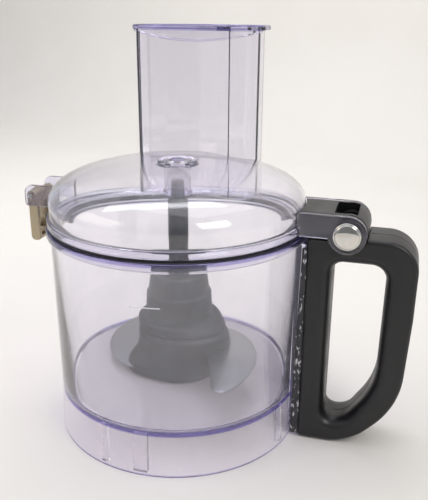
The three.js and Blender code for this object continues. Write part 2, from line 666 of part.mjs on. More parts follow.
// Corners of the tube's outside in plan, anticlockwise from its left front corner.
// The front wall stands back in the middle to leave room for the lid's boss.
function tubeCorners() {
  const wide = TUBE_HALF_WIDTH;
  const front = TUBE_FRONT;
  const back = TUBE_BACK_RADIUS;
  const sideEnd = Math.asin(wide / back);
  const corners = [
    [-wide, front + 5, 3],
    [-wide * 0.84, front + 11, 4],
    [-wide * 0.56, front + TUBE_RECESS, 6],
    [1, front + TUBE_RECESS + 1, 8],
    [wide * 0.33, front + 9, 6],
    [wide * 0.57, front, 3],
    [wide * 0.86, front - 1, 5],
    [wide, front + 12, 4],
  ];
  const steps = 6;
  for (let i = 0; i <= steps; i += 1) {
    const angle = sideEnd * (1 - (2 * i) / steps);
    corners.push([back * Math.sin(angle), back * Math.cos(angle), i % steps === 0 ? 6 : 4]);
  }
  return corners;
}

// The flange's plan is a plain oval-fronted plate that bridges the recess
function flangeCorners() {
  const wide = TUBE_HALF_WIDTH + TUBE_FLANGE;
  const front = TUBE_FRONT - 2;
  const back = TUBE_BACK_RADIUS + TUBE_FLANGE;
  const sideEnd = Math.asin(wide / back);
  const corners = [
    [-wide, front + 12, 6],
    [-wide * 0.55, front + 1, 20],
    [wide * 0.6, front - 1, 20],
    [wide, front + 10, 6],
  ];
  const steps = 6;
  for (let i = 0; i <= steps; i += 1) {
    const angle = sideEnd * (1 - (2 * i) / steps);
    corners.push([back * Math.sin(angle), back * Math.cos(angle), i % steps === 0 ? 7 : 4]);
  }
  return corners;
}

function feedTube() {
  const foot = LID_UNDERSIDE + TUBE_FOOT_ABOVE_RIM;
  const flangeFoot = TUBE_TOP - TUBE_FLANGE_THICKNESS;
  const apronFoot = flangeFoot - TUBE_APRON_DROP;
  const wide = TUBE_HALF_WIDTH + TUBE_FLANGE;
  const tube = raised(outline(tubeCorners()), [foot, TUBE_TOP]);
  const flange = raised(outline(flangeCorners()), [flangeFoot, TUBE_TOP]);
  // The apron hangs from the flange's front edge, deepest in the middle
  const apronRadius = (wide ** 2 + TUBE_APRON_DROP ** 2) / (2 * TUBE_APRON_DROP);
  const band = cut(
    raised(outline(flangeCorners()), [apronFoot, flangeFoot + 1]),
    raised(outline(grown(flangeCorners(), -TUBE_WALL)), [apronFoot - 1, flangeFoot]),
    box([-wide * 2, wide * 2], [TUBE_FRONT + 22, TUBE_BACK_RADIUS + 20], [apronFoot - 1, flangeFoot]),
  );
  const curve = crossBar(apronRadius, [0, apronFoot + apronRadius], [0, TUBE_BACK_RADIUS], 128);
  const apron = band.intersect(curve);
  const inside = raised(outline(grown(tubeCorners(), -TUBE_WALL)), [foot - 1, TUBE_TOP + 1]);
  return cut(join(tube, flange, apron), inside);
}

// ---- hinge block, pin and caps ----

function hingeBlock() {
  const half = HALF_HANDLE;
  const yRange = [-half, half];
  const barTop = PIVOT_Z + BLOCK_TOP_ABOVE_PIVOT;
  const bar = box([LID_SIDE_RADIUS - 8, PIVOT_X], yRange, [LID_UNDERSIDE + GAP, barTop]);
  const barrel = crossBar(BARREL_RADIUS, [PIVOT_X, PIVOT_Z], yRange, 48);
  const rimLevel = LID_UNDERSIDE + LID_RIM_THICKNESS + 1;
  const lidSide = pillar(LID_SIDE_RADIUS + RUNNING, [0, 0], [rimLevel, PIVOT_Z + 40], ROUND_STEPS * 2);
  const lidRim = pillar(LID_RIM_RADIUS + RUNNING, [0, 0], [0, rimLevel], ROUND_STEPS * 2);
  const halfPocket = POCKET_WIDTH / 2;
  const pocketRange = [-halfPocket, halfPocket];
  const pocketX = [PIVOT_X + 5.7 - POCKET_LENGTH, PIVOT_X + 5.7];
  const pocket = box(pocketX, pocketRange, [PIVOT_Z, PIVOT_Z + 30]);
  const lugRoom = crossBar(LUG_RADIUS + RUNNING, [PIVOT_X, PIVOT_Z], pocketRange, 32);
  // The lugs' roots pass through this sector as the lid swings open
  const sweepRadius = BARREL_RADIUS + 4;
  const sweepStart = degrees(-166);
  const sweepEnd = degrees(LID_SWING - 106);
  const sweep = new THREE.Shape();
  sweep.moveTo(PIVOT_X, PIVOT_Z);
  sweep.lineTo(PIVOT_X + sweepRadius * Math.cos(sweepStart), PIVOT_Z + sweepRadius * Math.sin(sweepStart));
  sweep.absarc(PIVOT_X, PIVOT_Z, sweepRadius, sweepStart, sweepEnd, false);
  const pinHole = crossBar(HINGE_PIN_RADIUS + GAP, [PIVOT_X, PIVOT_Z], [-half - 1, half + 1]);
  return cut(join(bar, barrel), lidSide, lidRim, pocket, lugRoom, acrossY(sweep, pocketRange), pinHole);
}

// A shallow domed cap on the outside of one arm; side is -1 at the front and 1 at the rear
function hingeCap(side) {
  const rim = 1.6;
  const dome = turned(
    [
      [0, 0],
      [CAP_RADIUS - 0.4, 0],
      [CAP_RADIUS, 0.4],
      [CAP_RADIUS, CAP_HEIGHT - rim],
      [CAP_RADIUS * 0.92, CAP_HEIGHT - rim * 0.5],
      [CAP_RADIUS * 0.6, CAP_HEIGHT - rim * 0.12],
      [0, CAP_HEIGHT],
    ],
    32,
  );
  return dome.rotate([-90 * side, 0, 0]).translate([PIVOT_X, side * (CHEEK_OUTSIDE + GAP), PIVOT_Z]);
}

function hingePin() {
  return crossBar(HINGE_PIN_RADIUS, [PIVOT_X, PIVOT_Z], [-CHEEK_OUTSIDE, CHEEK_OUTSIDE]);
}

// ---- latch ----

function latchLever() {
  const half = EAR_SPACING / 2 - RUNNING;
  const outside = LATCH_X - LEVER_BARREL_RADIUS + 0.6;
  const inside = outside + LEVER_DEPTH;
  const foot = HOOK_TOP - HOOK_THICKNESS - LEVER_TAIL;
  const side = outline([
    [outside, foot, 3.2],
    [inside, foot, 3.2],
    [inside, LATCH_Z, 0],
    [outside, LATCH_Z, 0],
  ]);
  const barrel = crossBar(LEVER_BARREL_RADIUS, [LATCH_X, LATCH_Z], [-half, half]);
  const whole = join(acrossY(side, [-half, half]), barrel);
  const hollow = box(
    [outside + LEVER_METAL, inside + 5],
    [LEVER_METAL - half, half - LEVER_METAL],
    [foot + 3, LATCH_Z - LEVER_BARREL_RADIUS - 1],
  );
  const hook = box(
    [outside + 1, -CATCH_REACH - HOOK_STANDOFF],
    [-HOOK_WIDTH / 2, HOOK_WIDTH / 2],
    [HOOK_TOP - HOOK_THICKNESS, HOOK_TOP],
  );
  const pinHole = crossBar(LATCH_PIN_RADIUS + GAP, [LATCH_X, LATCH_Z], [-half - 1, half + 1], 16);
  return cut(join(cut(whole, hollow), hook), pinHole);
}

function latchPin() {
  const half = EAR_SPACING / 2 + EAR_THICKNESS;
  return crossBar(LATCH_PIN_RADIUS, [LATCH_X, LATCH_Z], [-half, half], 16);
}

// ---- blade assembly ----

// Plan of one sickle blade: the outer edge winds out from heel to tip, the inner edge is hollow
function bladeOutline(growth = 0) {
  const steps = 14;
  const tipAngle = BLADE_HEEL_ANGLE - BLADE_SWEEP;
  const shape = new THREE.Shape();
  const at = (radius, angle) => [radius * Math.cos(degrees(angle)), radius * Math.sin(degrees(angle))];
  const rootRadius = BLADE_ROOT_RADIUS - growth;
  const hollow = at(BLADE_TIP_RADIUS * 0.7, tipAngle + 7);
  const tipStart = at(BLADE_TIP_RADIUS - 9, tipAngle - 2 - growth);
  const tipCorner = at(BLADE_TIP_RADIUS, tipAngle - 2 - growth);
  const tipEnd = at(BLADE_TIP_RADIUS + growth, tipAngle + 3);
  shape.moveTo(...at(rootRadius, tipAngle + 12 - growth));
  shape.quadraticCurveTo(...hollow, ...tipStart);
  shape.quadraticCurveTo(...tipCorner, ...tipEnd);
  for (let i = 1; i <= steps; i += 1) {
    const share = i / steps;
    const winding = (1 - share) ** 0.9;
    const radius = BLADE_HEEL_RADIUS + (BLADE_TIP_RADIUS - BLADE_HEEL_RADIUS) * winding;
    shape.lineTo(...at(radius + growth, tipAngle + 3 + (BLADE_SWEEP - 3) * share));
  }
  shape.lineTo(...at(rootRadius, BLADE_HEEL_ANGLE + growth));
  shape.absarc(0, 0, rootRadius, degrees(BLADE_HEEL_ANGLE + growth), degrees(tipAngle + 12 - growth), true);
  return shape;
}

function blade(level, turn, growth = 0) {
  const range = [level - growth, level + BLADE_THICKNESS + growth];
  return rotatedAboutZ(raised(bladeOutline(growth), range), turn);
}

function bladeHub() {
  const foot = FLOOR_TOP + HUB_FLOAT;
  const insertRoof = INSERT_FOOT + INSERT_HEIGHT + GAP;
  const shell = turned(
    [
      [HUB_FOOT_RADIUS - 1, foot],
      [HUB_FOOT_RADIUS, foot + 1],
      [HUB_FOOT_RADIUS, HUB_WAIST_HEIGHT - 12],
      [HUB_FOOT_RADIUS - 1, HUB_WAIST_HEIGHT - 5],
      [HUB_WAIST_RADIUS + 4, HUB_WAIST_HEIGHT - 1],
      [HUB_WAIST_RADIUS, HUB_WAIST_HEIGHT],
      [HUB_WAIST_RADIUS - 1, HUB_WAIST_HEIGHT + 17],
      [HUB_NECK_RADIUS, HUB_WAIST_HEIGHT + 21],
      [HUB_NECK_RADIUS - 1, HUB_HEIGHT - 2],
      [HUB_NECK_RADIUS - 3, HUB_HEIGHT],
      [INSERT_RADIUS - 4, HUB_HEIGHT],
      [INSERT_RADIUS - 4, insertRoof],
      [INSERT_RADIUS + GAP, insertRoof],
      [INSERT_RADIUS + GAP, INSERT_FOOT],
      [COLUMN_TOP_RADIUS + HUB_BORE_CLEARANCE, INSERT_FOOT],
      [HUB_BORE_RADIUS, foot],
    ],
    36,
  );
  const upperLobeHeight = [UPPER_BLADE_LEVEL - 8, UPPER_BLADE_LEVEL + 10];
  const upperLobe = pillar(LOBE_RADIUS, [LOBE_OFFSET, -4], upperLobeHeight, 32);
  const lowerLobe = pillar(LOBE_RADIUS, [-LOBE_OFFSET, 4], [foot, LOWER_BLADE_LEVEL + 11], 32);
  const bore = pillar(HUB_BORE_RADIUS, [0, 0], [foot - 1, foot + 40], 36);
  const lobes = cut(join(upperLobe, lowerLobe), bore);
  const slots = [blade(UPPER_BLADE_LEVEL, 0, GAP), blade(LOWER_BLADE_LEVEL, 180, GAP)];
  return cut(join(shell, lobes), ...slots);
}

// Six-sided drive socket inside the top of the hub
function driveInsert() {
  const roof = INSERT_FOOT + INSERT_HEIGHT;
  const ring = pillar(INSERT_RADIUS, [0, 0], [INSERT_FOOT, roof]);
  const socket = pillar(INSERT_BORE_RADIUS, [0, 0], [INSERT_FOOT - 1, roof + 1], 6);
  return cut(ring, socket);
}

// Post from the hub up to the lid's boss, with a narrow tip that the boss swings clear of
function driveStem() {
  const bossFoot = BOSS_TOP - BOSS_DEPTH;
  const top = bossFoot + STEM_REACH_IN_BOSS;
  const shoulder = bossFoot - STEM_SHOULDER_BELOW_BOSS;
  const foot = HUB_HEIGHT + GAP;
  return turned(
    [
      [0, HUB_HEIGHT - 1],
      [INSERT_RADIUS - 4 - GAP, HUB_HEIGHT - 1],
      [INSERT_RADIUS - 4 - GAP, foot],
      [STEM_COLLAR_RADIUS, foot],
      [STEM_COLLAR_RADIUS, foot + 3],
      [STEM_RADIUS + 1, foot + 6],
      [STEM_RADIUS, foot + 10],
      [STEM_RADIUS, shoulder],
      [STEM_TIP_RADIUS + 0.4, shoulder + 4],
      [STEM_TIP_RADIUS, top - 1],
      [STEM_TIP_RADIUS - 1, top],
      [0, top],
    ],
    32,
  );
}

// ---- materials ----

function finish(color, roughness, metalness, opacity = 1) {
  const transparent = opacity < 1;
  return new THREE.MeshStandardMaterial({ color, roughness, metalness, opacity, transparent });
}

const clearPlastic = () => finish(0xdcdaf0, 0.12, 0, 0.35);
const handlePlastic = () => finish(0x2e2e30, 0.55, 0);
const gasketRubber = () => finish(0x17171a, 0.6, 0);
const hubPlastic = () => finish(0x34383d, 0.6, 0);
const chrome = () => finish(0xd8d6d2, 0.08, 1);
const satinNickel = () => finish(0xb4a684, 0.35, 1);
const steel = () => finish(0xb9babd, 0.3, 1);
const nylon = () => finish(0xd8d4c8, 0.5, 0);

// ---- assembly ----

const assembly = new THREE.Group();

function place(parent, name, solid, material) {
  const mesh = new THREE.Mesh(toGeometry(solid), material);
  mesh.name = name;
  parent.add(mesh);
}

const bowlGroup = new THREE.Group();
const shells = handleShells();
place(bowlGroup, 'work_bowl', workBowl(), clearPlastic());
place(bowlGroup, 'handle_front_shell', shells.front, handlePlastic());
place(bowlGroup, 'handle_rear_shell', shells.rear, handlePlastic());
for (const [name, at] of Object.entries(SCREW_PLACES)) {
  place(bowlGroup, `handle_screw_${name}`, handleScrew(at), steel());
}
place(bowlGroup, 'interlock_spring', interlockSpring(), steel());
place(bowlGroup, 'interlock_rod', interlockRod(), nylon());

const lidGroup = new THREE.Group();
place(lidGroup, 'lid_cover', lidCover(), clearPlastic());
place(lidGroup, 'feed_tube', feedTube(), clearPlastic());
place(lidGroup, 'lid_gasket', lidGasket(), gasketRubber());
place(lidGroup, 'hinge_block', hingeBlock(), handlePlastic());
place(lidGroup, 'hinge_pin', hingePin(), steel());
place(lidGroup, 'hinge_cap_front', hingeCap(-1), chrome());
place(lidGroup, 'hinge_cap_rear', hingeCap(1), chrome());
place(lidGroup, 'latch_pin', latchPin(), steel());
place(lidGroup, 'latch_lever', latchLever(), satinNickel());

const bladeGroup = new THREE.Group();
place(bladeGroup, 'blade_hub', bladeHub(), hubPlastic());
place(bladeGroup, 'drive_insert', driveInsert(), steel());
place(bladeGroup, 'drive_stem', driveStem(), hubPlastic());
place(bladeGroup, 'blade_upper', blade(UPPER_BLADE_LEVEL, 0), steel());
place(bladeGroup, 'blade_lower', blade(LOWER_BLADE_LEVEL, 180), steel());

assembly.add(bowlGroup, lidGroup, bladeGroup);

// The origin is under the middle of the object's box, at the level that the bowl stands on
const extent = new THREE.Box3().setFromObject(assembly, true);
const middle = extent.getCenter(new THREE.Vector3());
assembly.position.set(-middle.x, -middle.y, -extent.min.z);

const foodProcessorBowl = new THREE.Group();
foodProcessorBowl.add(assembly);

export default foodProcessorBowl;
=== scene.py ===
import math

import bmesh
import bpy
import numpy as np
from mathutils import Matrix, Vector


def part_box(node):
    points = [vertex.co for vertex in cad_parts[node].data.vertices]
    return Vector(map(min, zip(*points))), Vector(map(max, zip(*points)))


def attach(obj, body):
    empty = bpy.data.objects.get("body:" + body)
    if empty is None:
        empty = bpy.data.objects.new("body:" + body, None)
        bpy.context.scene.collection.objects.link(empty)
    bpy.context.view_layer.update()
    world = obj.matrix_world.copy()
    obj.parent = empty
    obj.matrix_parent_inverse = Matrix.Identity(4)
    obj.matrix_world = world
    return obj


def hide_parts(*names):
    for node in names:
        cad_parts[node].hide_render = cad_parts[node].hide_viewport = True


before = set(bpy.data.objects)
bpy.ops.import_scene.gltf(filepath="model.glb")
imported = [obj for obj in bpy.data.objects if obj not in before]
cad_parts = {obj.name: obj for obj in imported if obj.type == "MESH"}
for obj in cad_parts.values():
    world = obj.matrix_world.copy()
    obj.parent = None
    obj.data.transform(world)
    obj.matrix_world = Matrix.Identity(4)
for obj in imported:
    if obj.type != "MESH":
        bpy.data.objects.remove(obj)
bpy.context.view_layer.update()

MM = 0.001
TURN = 2 * math.pi


def corners_of(node):
    """A CAD node's lowest and highest corners in millimetres."""
    return tuple(np.array(corner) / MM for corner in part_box(node))


STEM_LOW, STEM_HIGH = corners_of("drive_stem")
BOWL_LOW, BOWL_HIGH = corners_of("work_bowl")
LID_HIGH = corners_of("lid_cover")[1]
TUBE_LOW, TUBE_HIGH = corners_of("feed_tube")
GASKET_LOW, GASKET_HIGH = corners_of("lid_gasket")
HANDLE_LOW, HANDLE_HIGH = corners_of("handle_front_shell")
BLOCK_HIGH = corners_of("hinge_block")[1]
PIN_LOW, PIN_HIGH = corners_of("hinge_pin")
LATCH_PIN_LOW, LATCH_PIN_HIGH = corners_of("latch_pin")
LEVER_LOW, LEVER_HIGH = corners_of("latch_lever")
HUB_LOW, HUB_HIGH = corners_of("blade_hub")
INSERT_LOW, INSERT_HIGH = corners_of("drive_insert")
UPPER_LOW, UPPER_HIGH = corners_of("blade_upper")
LOWER_LOW, LOWER_HIGH = corners_of("blade_lower")
ROD_LOW, ROD_HIGH = corners_of("interlock_rod")

AXIS_X = (STEM_LOW[0] + STEM_HIGH[0]) / 2  # the bowl's axis in the row frame
PIVOT_X = (PIN_LOW[0] + PIN_HIGH[0]) / 2 - AXIS_X
PIVOT_Z = (PIN_LOW[2] + PIN_HIGH[2]) / 2
LATCH_X = (LATCH_PIN_LOW[0] + LATCH_PIN_HIGH[0]) / 2 - AXIS_X
LATCH_Z = (LATCH_PIN_LOW[2] + LATCH_PIN_HIGH[2]) / 2
PIVOT = (PIVOT_X, PIVOT_Z)
LATCH = (LATCH_X, LATCH_Z)

# The bowl's own sizes. They also place the painted violet glow on its clear plastic.
BEAD_RADIUS = BOWL_HIGH[1]
BOWL_TOP = BOWL_HIGH[2]
BEAD_FOOT = BOWL_TOP - 5.4
MOUTH_RADIUS = BEAD_RADIUS - 3.1
WALL_LEAN = 1.1
WAIST_RADIUS = MOUTH_RADIUS - WALL_LEAN
FOOT_RADIUS = WAIST_RADIUS + 1.3
BOWL_WALL = 2.8
WAIST_INSIDE = WAIST_RADIUS - BOWL_WALL
FLOOR_UNDERSIDE = 34.6
FLOOR_TOP = 37.6
ANY_RADIUS = (0, 400)


# ---- camera ----

CAMERA_PLACE = (134.3, -482.9, 323.3)
CAMERA_TARGET = (-3.4, 9.1, 141.5)
CAMERA_ROLL = 0.35  # degrees
CAMERA_LENS = 48.9


def make_camera():
    """Looks from the camera's place at its target, then rolls about its own line of sight."""
    camera = bpy.data.cameras.new("camera")
    camera.lens = CAMERA_LENS
    camera.clip_start = 0.02
    holder = bpy.data.objects.new("camera", camera)
    bpy.context.scene.collection.objects.link(holder)
    place, target = Vector(CAMERA_PLACE) * MM, Vector(CAMERA_TARGET) * MM
    facing = (target - place).to_track_quat("-Z", "Y").to_matrix().to_4x4()
    roll = Matrix.Rotation(math.radians(CAMERA_ROLL), 4, "Z")
    holder.matrix_world = Matrix.Translation(place) @ facing @ roll
    bpy.context.scene.camera = holder


make_camera()


# ---- outlines and profiles ----


def rounded(corners, steps=6):
    """A closed outline through corners (a, b, radius). Each corner with a radius becomes an arc
    that touches both of its sides."""
    points = []
    for i, (a, b, radius) in enumerate(corners):
        corner = np.array([a, b], float)
        back = np.array(corners[i - 1][:2]) - corner
        ahead = np.array(corners[(i + 1) % len(corners)][:2]) - corner
        back_length, ahead_length = np.linalg.norm(back), np.linalg.norm(ahead)
        back, ahead = back / back_length, ahead / ahead_length
        half = math.acos(float(np.clip(back @ ahead, -1, 1))) / 2
        if radius <= 0 or half > math.radians(89):
            points.append(corner)
            continue
        reach = min(radius / math.tan(half), 0.49 * back_length, 0.49 * ahead_length)
        radius = reach * math.tan(half)
        bisector = (back + ahead) / np.linalg.norm(back + ahead)
        centre = corner + bisector * radius / math.sin(half)
        first, last = corner + back * reach - centre, corner + ahead * reach - centre
        opening = math.pi - 2 * half
        share = np.linspace(0, 1, steps + 1)[:, None]
        arc = np.sin((1 - share) * opening) * first + np.sin(share * opening) * last
        points.extend(centre + arc / math.sin(opening))
    return np.array(points)


def even(outline, count, closed=True):
    """The same outline with points at even steps along its length."""
    loop = np.vstack([outline, outline[:1]]) if closed else outline
    lengths = np.concatenate([[0], np.cumsum(np.linalg.norm(np.diff(loop, axis=0), axis=1))])
    at = np.linspace(0, lengths[-1], count, endpoint=not closed)
    return np.stack([np.interp(at, lengths, loop[:, k]) for k in range(2)], axis=1)


def outward(outline):
    """Unit normals of a closed outline, each the mean of its two sides' normals."""
    following = np.roll(outline, -1, axis=0)
    ahead = following - outline
    ahead /= np.linalg.norm(ahead, axis=1, keepdims=True)
    sides = np.stack([ahead[:, 1], -ahead[:, 0]], axis=1)
    normal = sides + np.roll(sides, 1, axis=0)
    normal /= np.linalg.norm(normal, axis=1, keepdims=True)
    area = np.sum(outline[:, 0] * following[:, 1] - outline[:, 1] * following[:, 0])
    return normal if area > 0 else -normal


def circle(centre, radius, steps):
    """A closed outline: points at even angles round centre."""
    angle = np.arange(steps) * TURN / steps
    return np.column_stack([centre[0] + radius * np.cos(angle), centre[1] + radius * np.sin(angle)])


def quarter(radius, steps=5, depth=None):
    """A quarter round as (inset, drop) pairs: inset grows from 0 to radius as drop shrinks from
    depth to 0."""
    angle = np.linspace(0, math.pi / 2, steps + 1)
    return list(zip(radius * (1 - np.cos(angle)), (depth or radius) * (1 - np.sin(angle))))


# ---- meshes ----


def mesh_of(name, vertices, faces):
    """An object at the origin from points in millimetres about the bowl's axis, facing out."""
    mesh = bpy.data.meshes.new(name)
    vertices = (np.asarray(vertices, float) + (AXIS_X, 0, 0)) * MM
    mesh.from_pydata(vertices.tolist(), [], faces)
    mesh.validate()
    mesh.update()
    mesh.calc_loop_triangles()
    triangles = np.empty(len(mesh.loop_triangles) * 3, np.int32)
    mesh.loop_triangles.foreach_get("vertices", triangles)
    a, b, c = vertices[triangles.reshape(-1, 3)].transpose(1, 0, 2)
    if np.einsum("ij,ij->i", a, np.cross(b, c)).sum() < 0:
        mesh.flip_normals()
    thing = bpy.data.objects.new(name, mesh)
    bpy.context.scene.collection.objects.link(thing)
    return thing


def grid(name, points, wrap_rows=True, wrap_columns=True, caps=False):
    """A surface over a (rows, columns, 3) grid of points: one quad between each four neighbours,
    joined round where it wraps. caps closes the first and last rows with flat faces."""
    rows, columns = points.shape[:2]
    index = np.arange(rows * columns).reshape(rows, columns)
    below = np.roll(index, -1, axis=0) if wrap_rows else index[1:]
    above = index if wrap_rows else index[:-1]
    if wrap_columns:
        quads = np.stack([above, np.roll(above, -1, 1), np.roll(below, -1, 1), below], axis=-1)
    else:
        quads = np.stack([above[:, :-1], above[:, 1:], below[:, 1:], below[:, :-1]], axis=-1)
    faces = quads.reshape(-1, 4).tolist()
    if caps:
        faces.append(index[0][::-1].tolist())
        faces.append(index[-1].tolist())
    return mesh_of(name, points.reshape(-1, 3), faces)


def turned(name, profile, steps=192, centre=(0, 0), across=None):
    """A closed profile of (radius, height) turned about the vertical through centre, or, where
    across is "Y", about the line along Y through centre = (x, z). Points that lie on the axis
    are merged."""
    angle = np.arange(steps) * TURN / steps
    radius, height = profile[:, 0][:, None], profile[:, 1][:, None]
    a, b = radius * np.cos(angle), radius * np.sin(angle)
    height = np.broadcast_to(height, a.shape)
    if across == "Y":
        points = np.stack([centre[0] + a, height, centre[1] + b], axis=-1)
    else:
        points = np.stack([centre[0] + a, centre[1] + b, height], axis=-1)
    thing = grid(name, points)
    if np.any(profile[:, 0] < 1e-6):
        merge(thing)
    return thing


def slab(name, outline, profile, across="Z"):
    """An outline carried along an axis: profile is (inset, level) pairs from one end to the
    other, inset being how far that ring lies inside the outline. Flat ends close it."""
    normal = outward(outline)
    rings = [outline - normal * inset for inset, _ in profile]
    levels = [np.full(len(outline), level) for _, level in profile]
    if across == "Z":
        points = [np.column_stack([ring[:, 0], ring[:, 1], at]) for ring, at in zip(rings, levels)]
    else:
        points = [np.column_stack([ring[:, 0], at, ring[:, 1]]) for ring, at in zip(rings, levels)]
    return grid(name, np.array(points), wrap_rows=False, caps=True)


def edged(low, high, edge, steps=4):
    """A slab's profile from low to high whose two ends are rounded by edge."""
    start = [(inset, low + drop) for inset, drop in quarter(edge, steps)][::-1]
    end = [(inset, high - drop) for inset, drop in quarter(edge, steps)]
    return start + end


def ring_wall(name, outline, profile):
    """A closed loop of (inset, height) pairs carried round a closed outline, as a tube's wall."""
    normal = outward(outline)
    count = len(outline)
    rings = [np.column_stack([outline - normal * inset, np.full(count, z)]) for inset, z in profile]
    return grid(name, np.array(rings))


def box(name, low, high, edge=0.4):
    """A block from one corner to the other with rounded edges."""
    (left, front), (right, back) = low[:2], high[:2]
    corners = [(left, front, edge), (right, front, edge), (right, back, edge), (left, back, edge)]
    return slab(name, rounded(corners, 3), edged(low[2], high[2], edge, 3))


def pin_hole(radius, low, high, centre, steps=48):
    """A round tool along Y: a circle about centre = (x, z), carried from low to high."""
    return slab("hole", circle(centre, radius, steps), [(0, low), (0, high)], across="Y")


def pillar(radius, low, high, centre=(0, 0), steps=48):
    """A round tool along Z: a circle about centre = (x, y), carried from low to high."""
    return slab("pillar", circle(centre, radius, steps), [(0, low), (0, high)])


def merge(thing):
    """Joins points that share a place and drops the faces that this leaves without area."""
    mesh = bmesh.new()
    mesh.from_mesh(thing.data)
    bmesh.ops.remove_doubles(mesh, verts=mesh.verts, dist=1e-7)
    bmesh.ops.dissolve_degenerate(mesh, edges=mesh.edges, dist=1e-7)
    bmesh.ops.recalc_face_normals(mesh, faces=mesh.faces)
    mesh.to_mesh(thing.data)
    mesh.free()


def combine(base, operation, *tools):
    """base joined with, or cut by, each tool, which is then used up."""
    for tool in tools:
        modifier = base.modifiers.new("combine", "BOOLEAN")
        modifier.operation = operation
        modifier.solver = "MANIFOLD"
        modifier.object = tool
        evaluated = base.evaluated_get(bpy.context.evaluated_depsgraph_get())
        mesh = bpy.data.meshes.new_from_object(evaluated)
        base.modifiers.clear()
        base.data = mesh
        bpy.data.objects.remove(tool)
    return base


def smooth(thing, angle=32):
    """Smooth shading, with a hard edge wherever two faces meet at more than angle degrees."""
    mesh = thing.data
    mesh.shade_smooth()
    mesh.set_sharp_from_angle(angle=math.radians(angle))
    return thing


def finish_piece(thing, material, body, slot_name, *nodes, angle=32):
    """Gives a piece its shading and material, hangs it on the body that it rides on and hides the CAD
    nodes that it stands for.
    """
    smooth(thing, angle)
    thing.data.materials.clear()
    thing.data.materials.append(material)
    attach(thing, body)
    if nodes:
        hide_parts(*nodes)
    return thing


# ---- materials ----


def colour(code, alpha=1.0):
    """An sRGB hex colour as the linear RGBA that a shader takes."""
    channels = [int(code[i : i + 2], 16) / 255 for i in (1, 3, 5)]
    linear = [c / 12.92 if c <= 0.04045 else ((c + 0.055) / 1.055) ** 2.4 for c in channels]
    return (*linear, alpha)


def feed(tree, made, inputs):
    """Sets a node's sockets, named or numbered: an output is linked, a hex colour is turned
    linear, and any other value is set on the socket itself."""
    for name, value in inputs.items():
        socket = made.inputs[name]
        if isinstance(value, bpy.types.NodeSocket):
            tree.links.new(value, socket)
        else:
            socket.default_value = colour(value) if isinstance(value, str) else value


def node(tree, kind, inputs=(), out=0, **settings):
    """Adds a shader node and gives back one of its outputs. inputs are its sockets in order, or
    a dict of them, and settings are the node's own."""
    made = tree.nodes.new("ShaderNode" + kind)
    for name, value in settings.items():
        setattr(made, name, value)
    feed(tree, made, inputs if isinstance(inputs, dict) else dict(enumerate(inputs)))
    return made.outputs[out]


def begin(name, base, **settings):
    """A material with one Principled shader, its tree, that shader and the place that its
    patterns read, in metres."""
    material = bpy.data.materials.new(name)
    material.use_nodes = True
    material.diffuse_color = colour(base)
    tree = material.node_tree
    shader = tree.nodes["Principled BSDF"]
    sockets = {key.replace("_", " "): value for key, value in settings.items()}
    feed(tree, shader, {"Base Color": base, **sockets})
    return material, tree, shader, node(tree, "TexCoord", out="Object")


def blobs(place, size_mm, detail=2.0):
    """Sockets of a noise whose blobs are about size_mm across."""
    return {"Vector": place, "Scale": 1 / (size_mm * MM), "Detail": detail}


def patches(tree, place, size_mm, detail, low, high, to_low, to_high):
    """Blobs about size_mm across: noise from low..high moved to to_low..to_high and held."""
    cloud = node(tree, "TexNoise", blobs(place, size_mm, detail))
    return node(tree, "MapRange", [cloud, low, high, to_low, to_high])


def relief(tree, place, size_mm, depth_mm, strength, detail=2.0):
    """Blobs about size_mm across, as relief depth_mm deep for a shader's normal."""
    height = node(tree, "TexNoise", blobs(place, size_mm, detail))
    return node(tree, "Bump", {"Height": height, "Distance": depth_mm * MM, "Strength": strength})


def scratches(tree, place, spacing_mm, turn, share):
    """Fine straight scratches: noise drawn out fifty times along one direction and cut off so
    that only its peaks are left."""
    aside = node(
        tree, "VectorRotate", {"Vector": place, "Rotation": turn}, rotation_type="EULER_XYZ"
    )
    long = node(tree, "Mapping", {"Vector": aside, "Scale": (1, 1, 0.02)})
    return patches(tree, long, spacing_mm, 1.0, 1 - share, 1 - share + 0.04, 0, 1)


def inside_range(tree, value, low_mm, high_mm, blur_mm=0.3):
    """1 where value lies between two limits, fading to 0 over blur_mm outside them."""
    rise = node(tree, "MapRange", [value, (low_mm - blur_mm) * MM, low_mm * MM, 0, 1])
    fall = node(tree, "MapRange", [value, high_mm * MM, (high_mm + blur_mm) * MM, 1, 0])
    return node(tree, "Math", [rise, fall], operation="MULTIPLY")


def zone(tree, place, radius, level):
    """1 inside a ring about the bowl's axis, given by its limits of radius and level."""
    from_axis = node(tree, "VectorMath", [place, (AXIS_X * MM, 0, 0)], operation="SUBTRACT")
    flat = node(tree, "VectorMath", [from_axis, (1, 1, 0)], operation="MULTIPLY")
    reach = node(tree, "VectorMath", [flat], "Value", operation="LENGTH")
    height = node(tree, "SeparateXYZ", [place], "Z")
    ends = [inside_range(tree, reach, *radius), inside_range(tree, height, *level)]
    return node(tree, "Math", ends, operation="MULTIPLY")


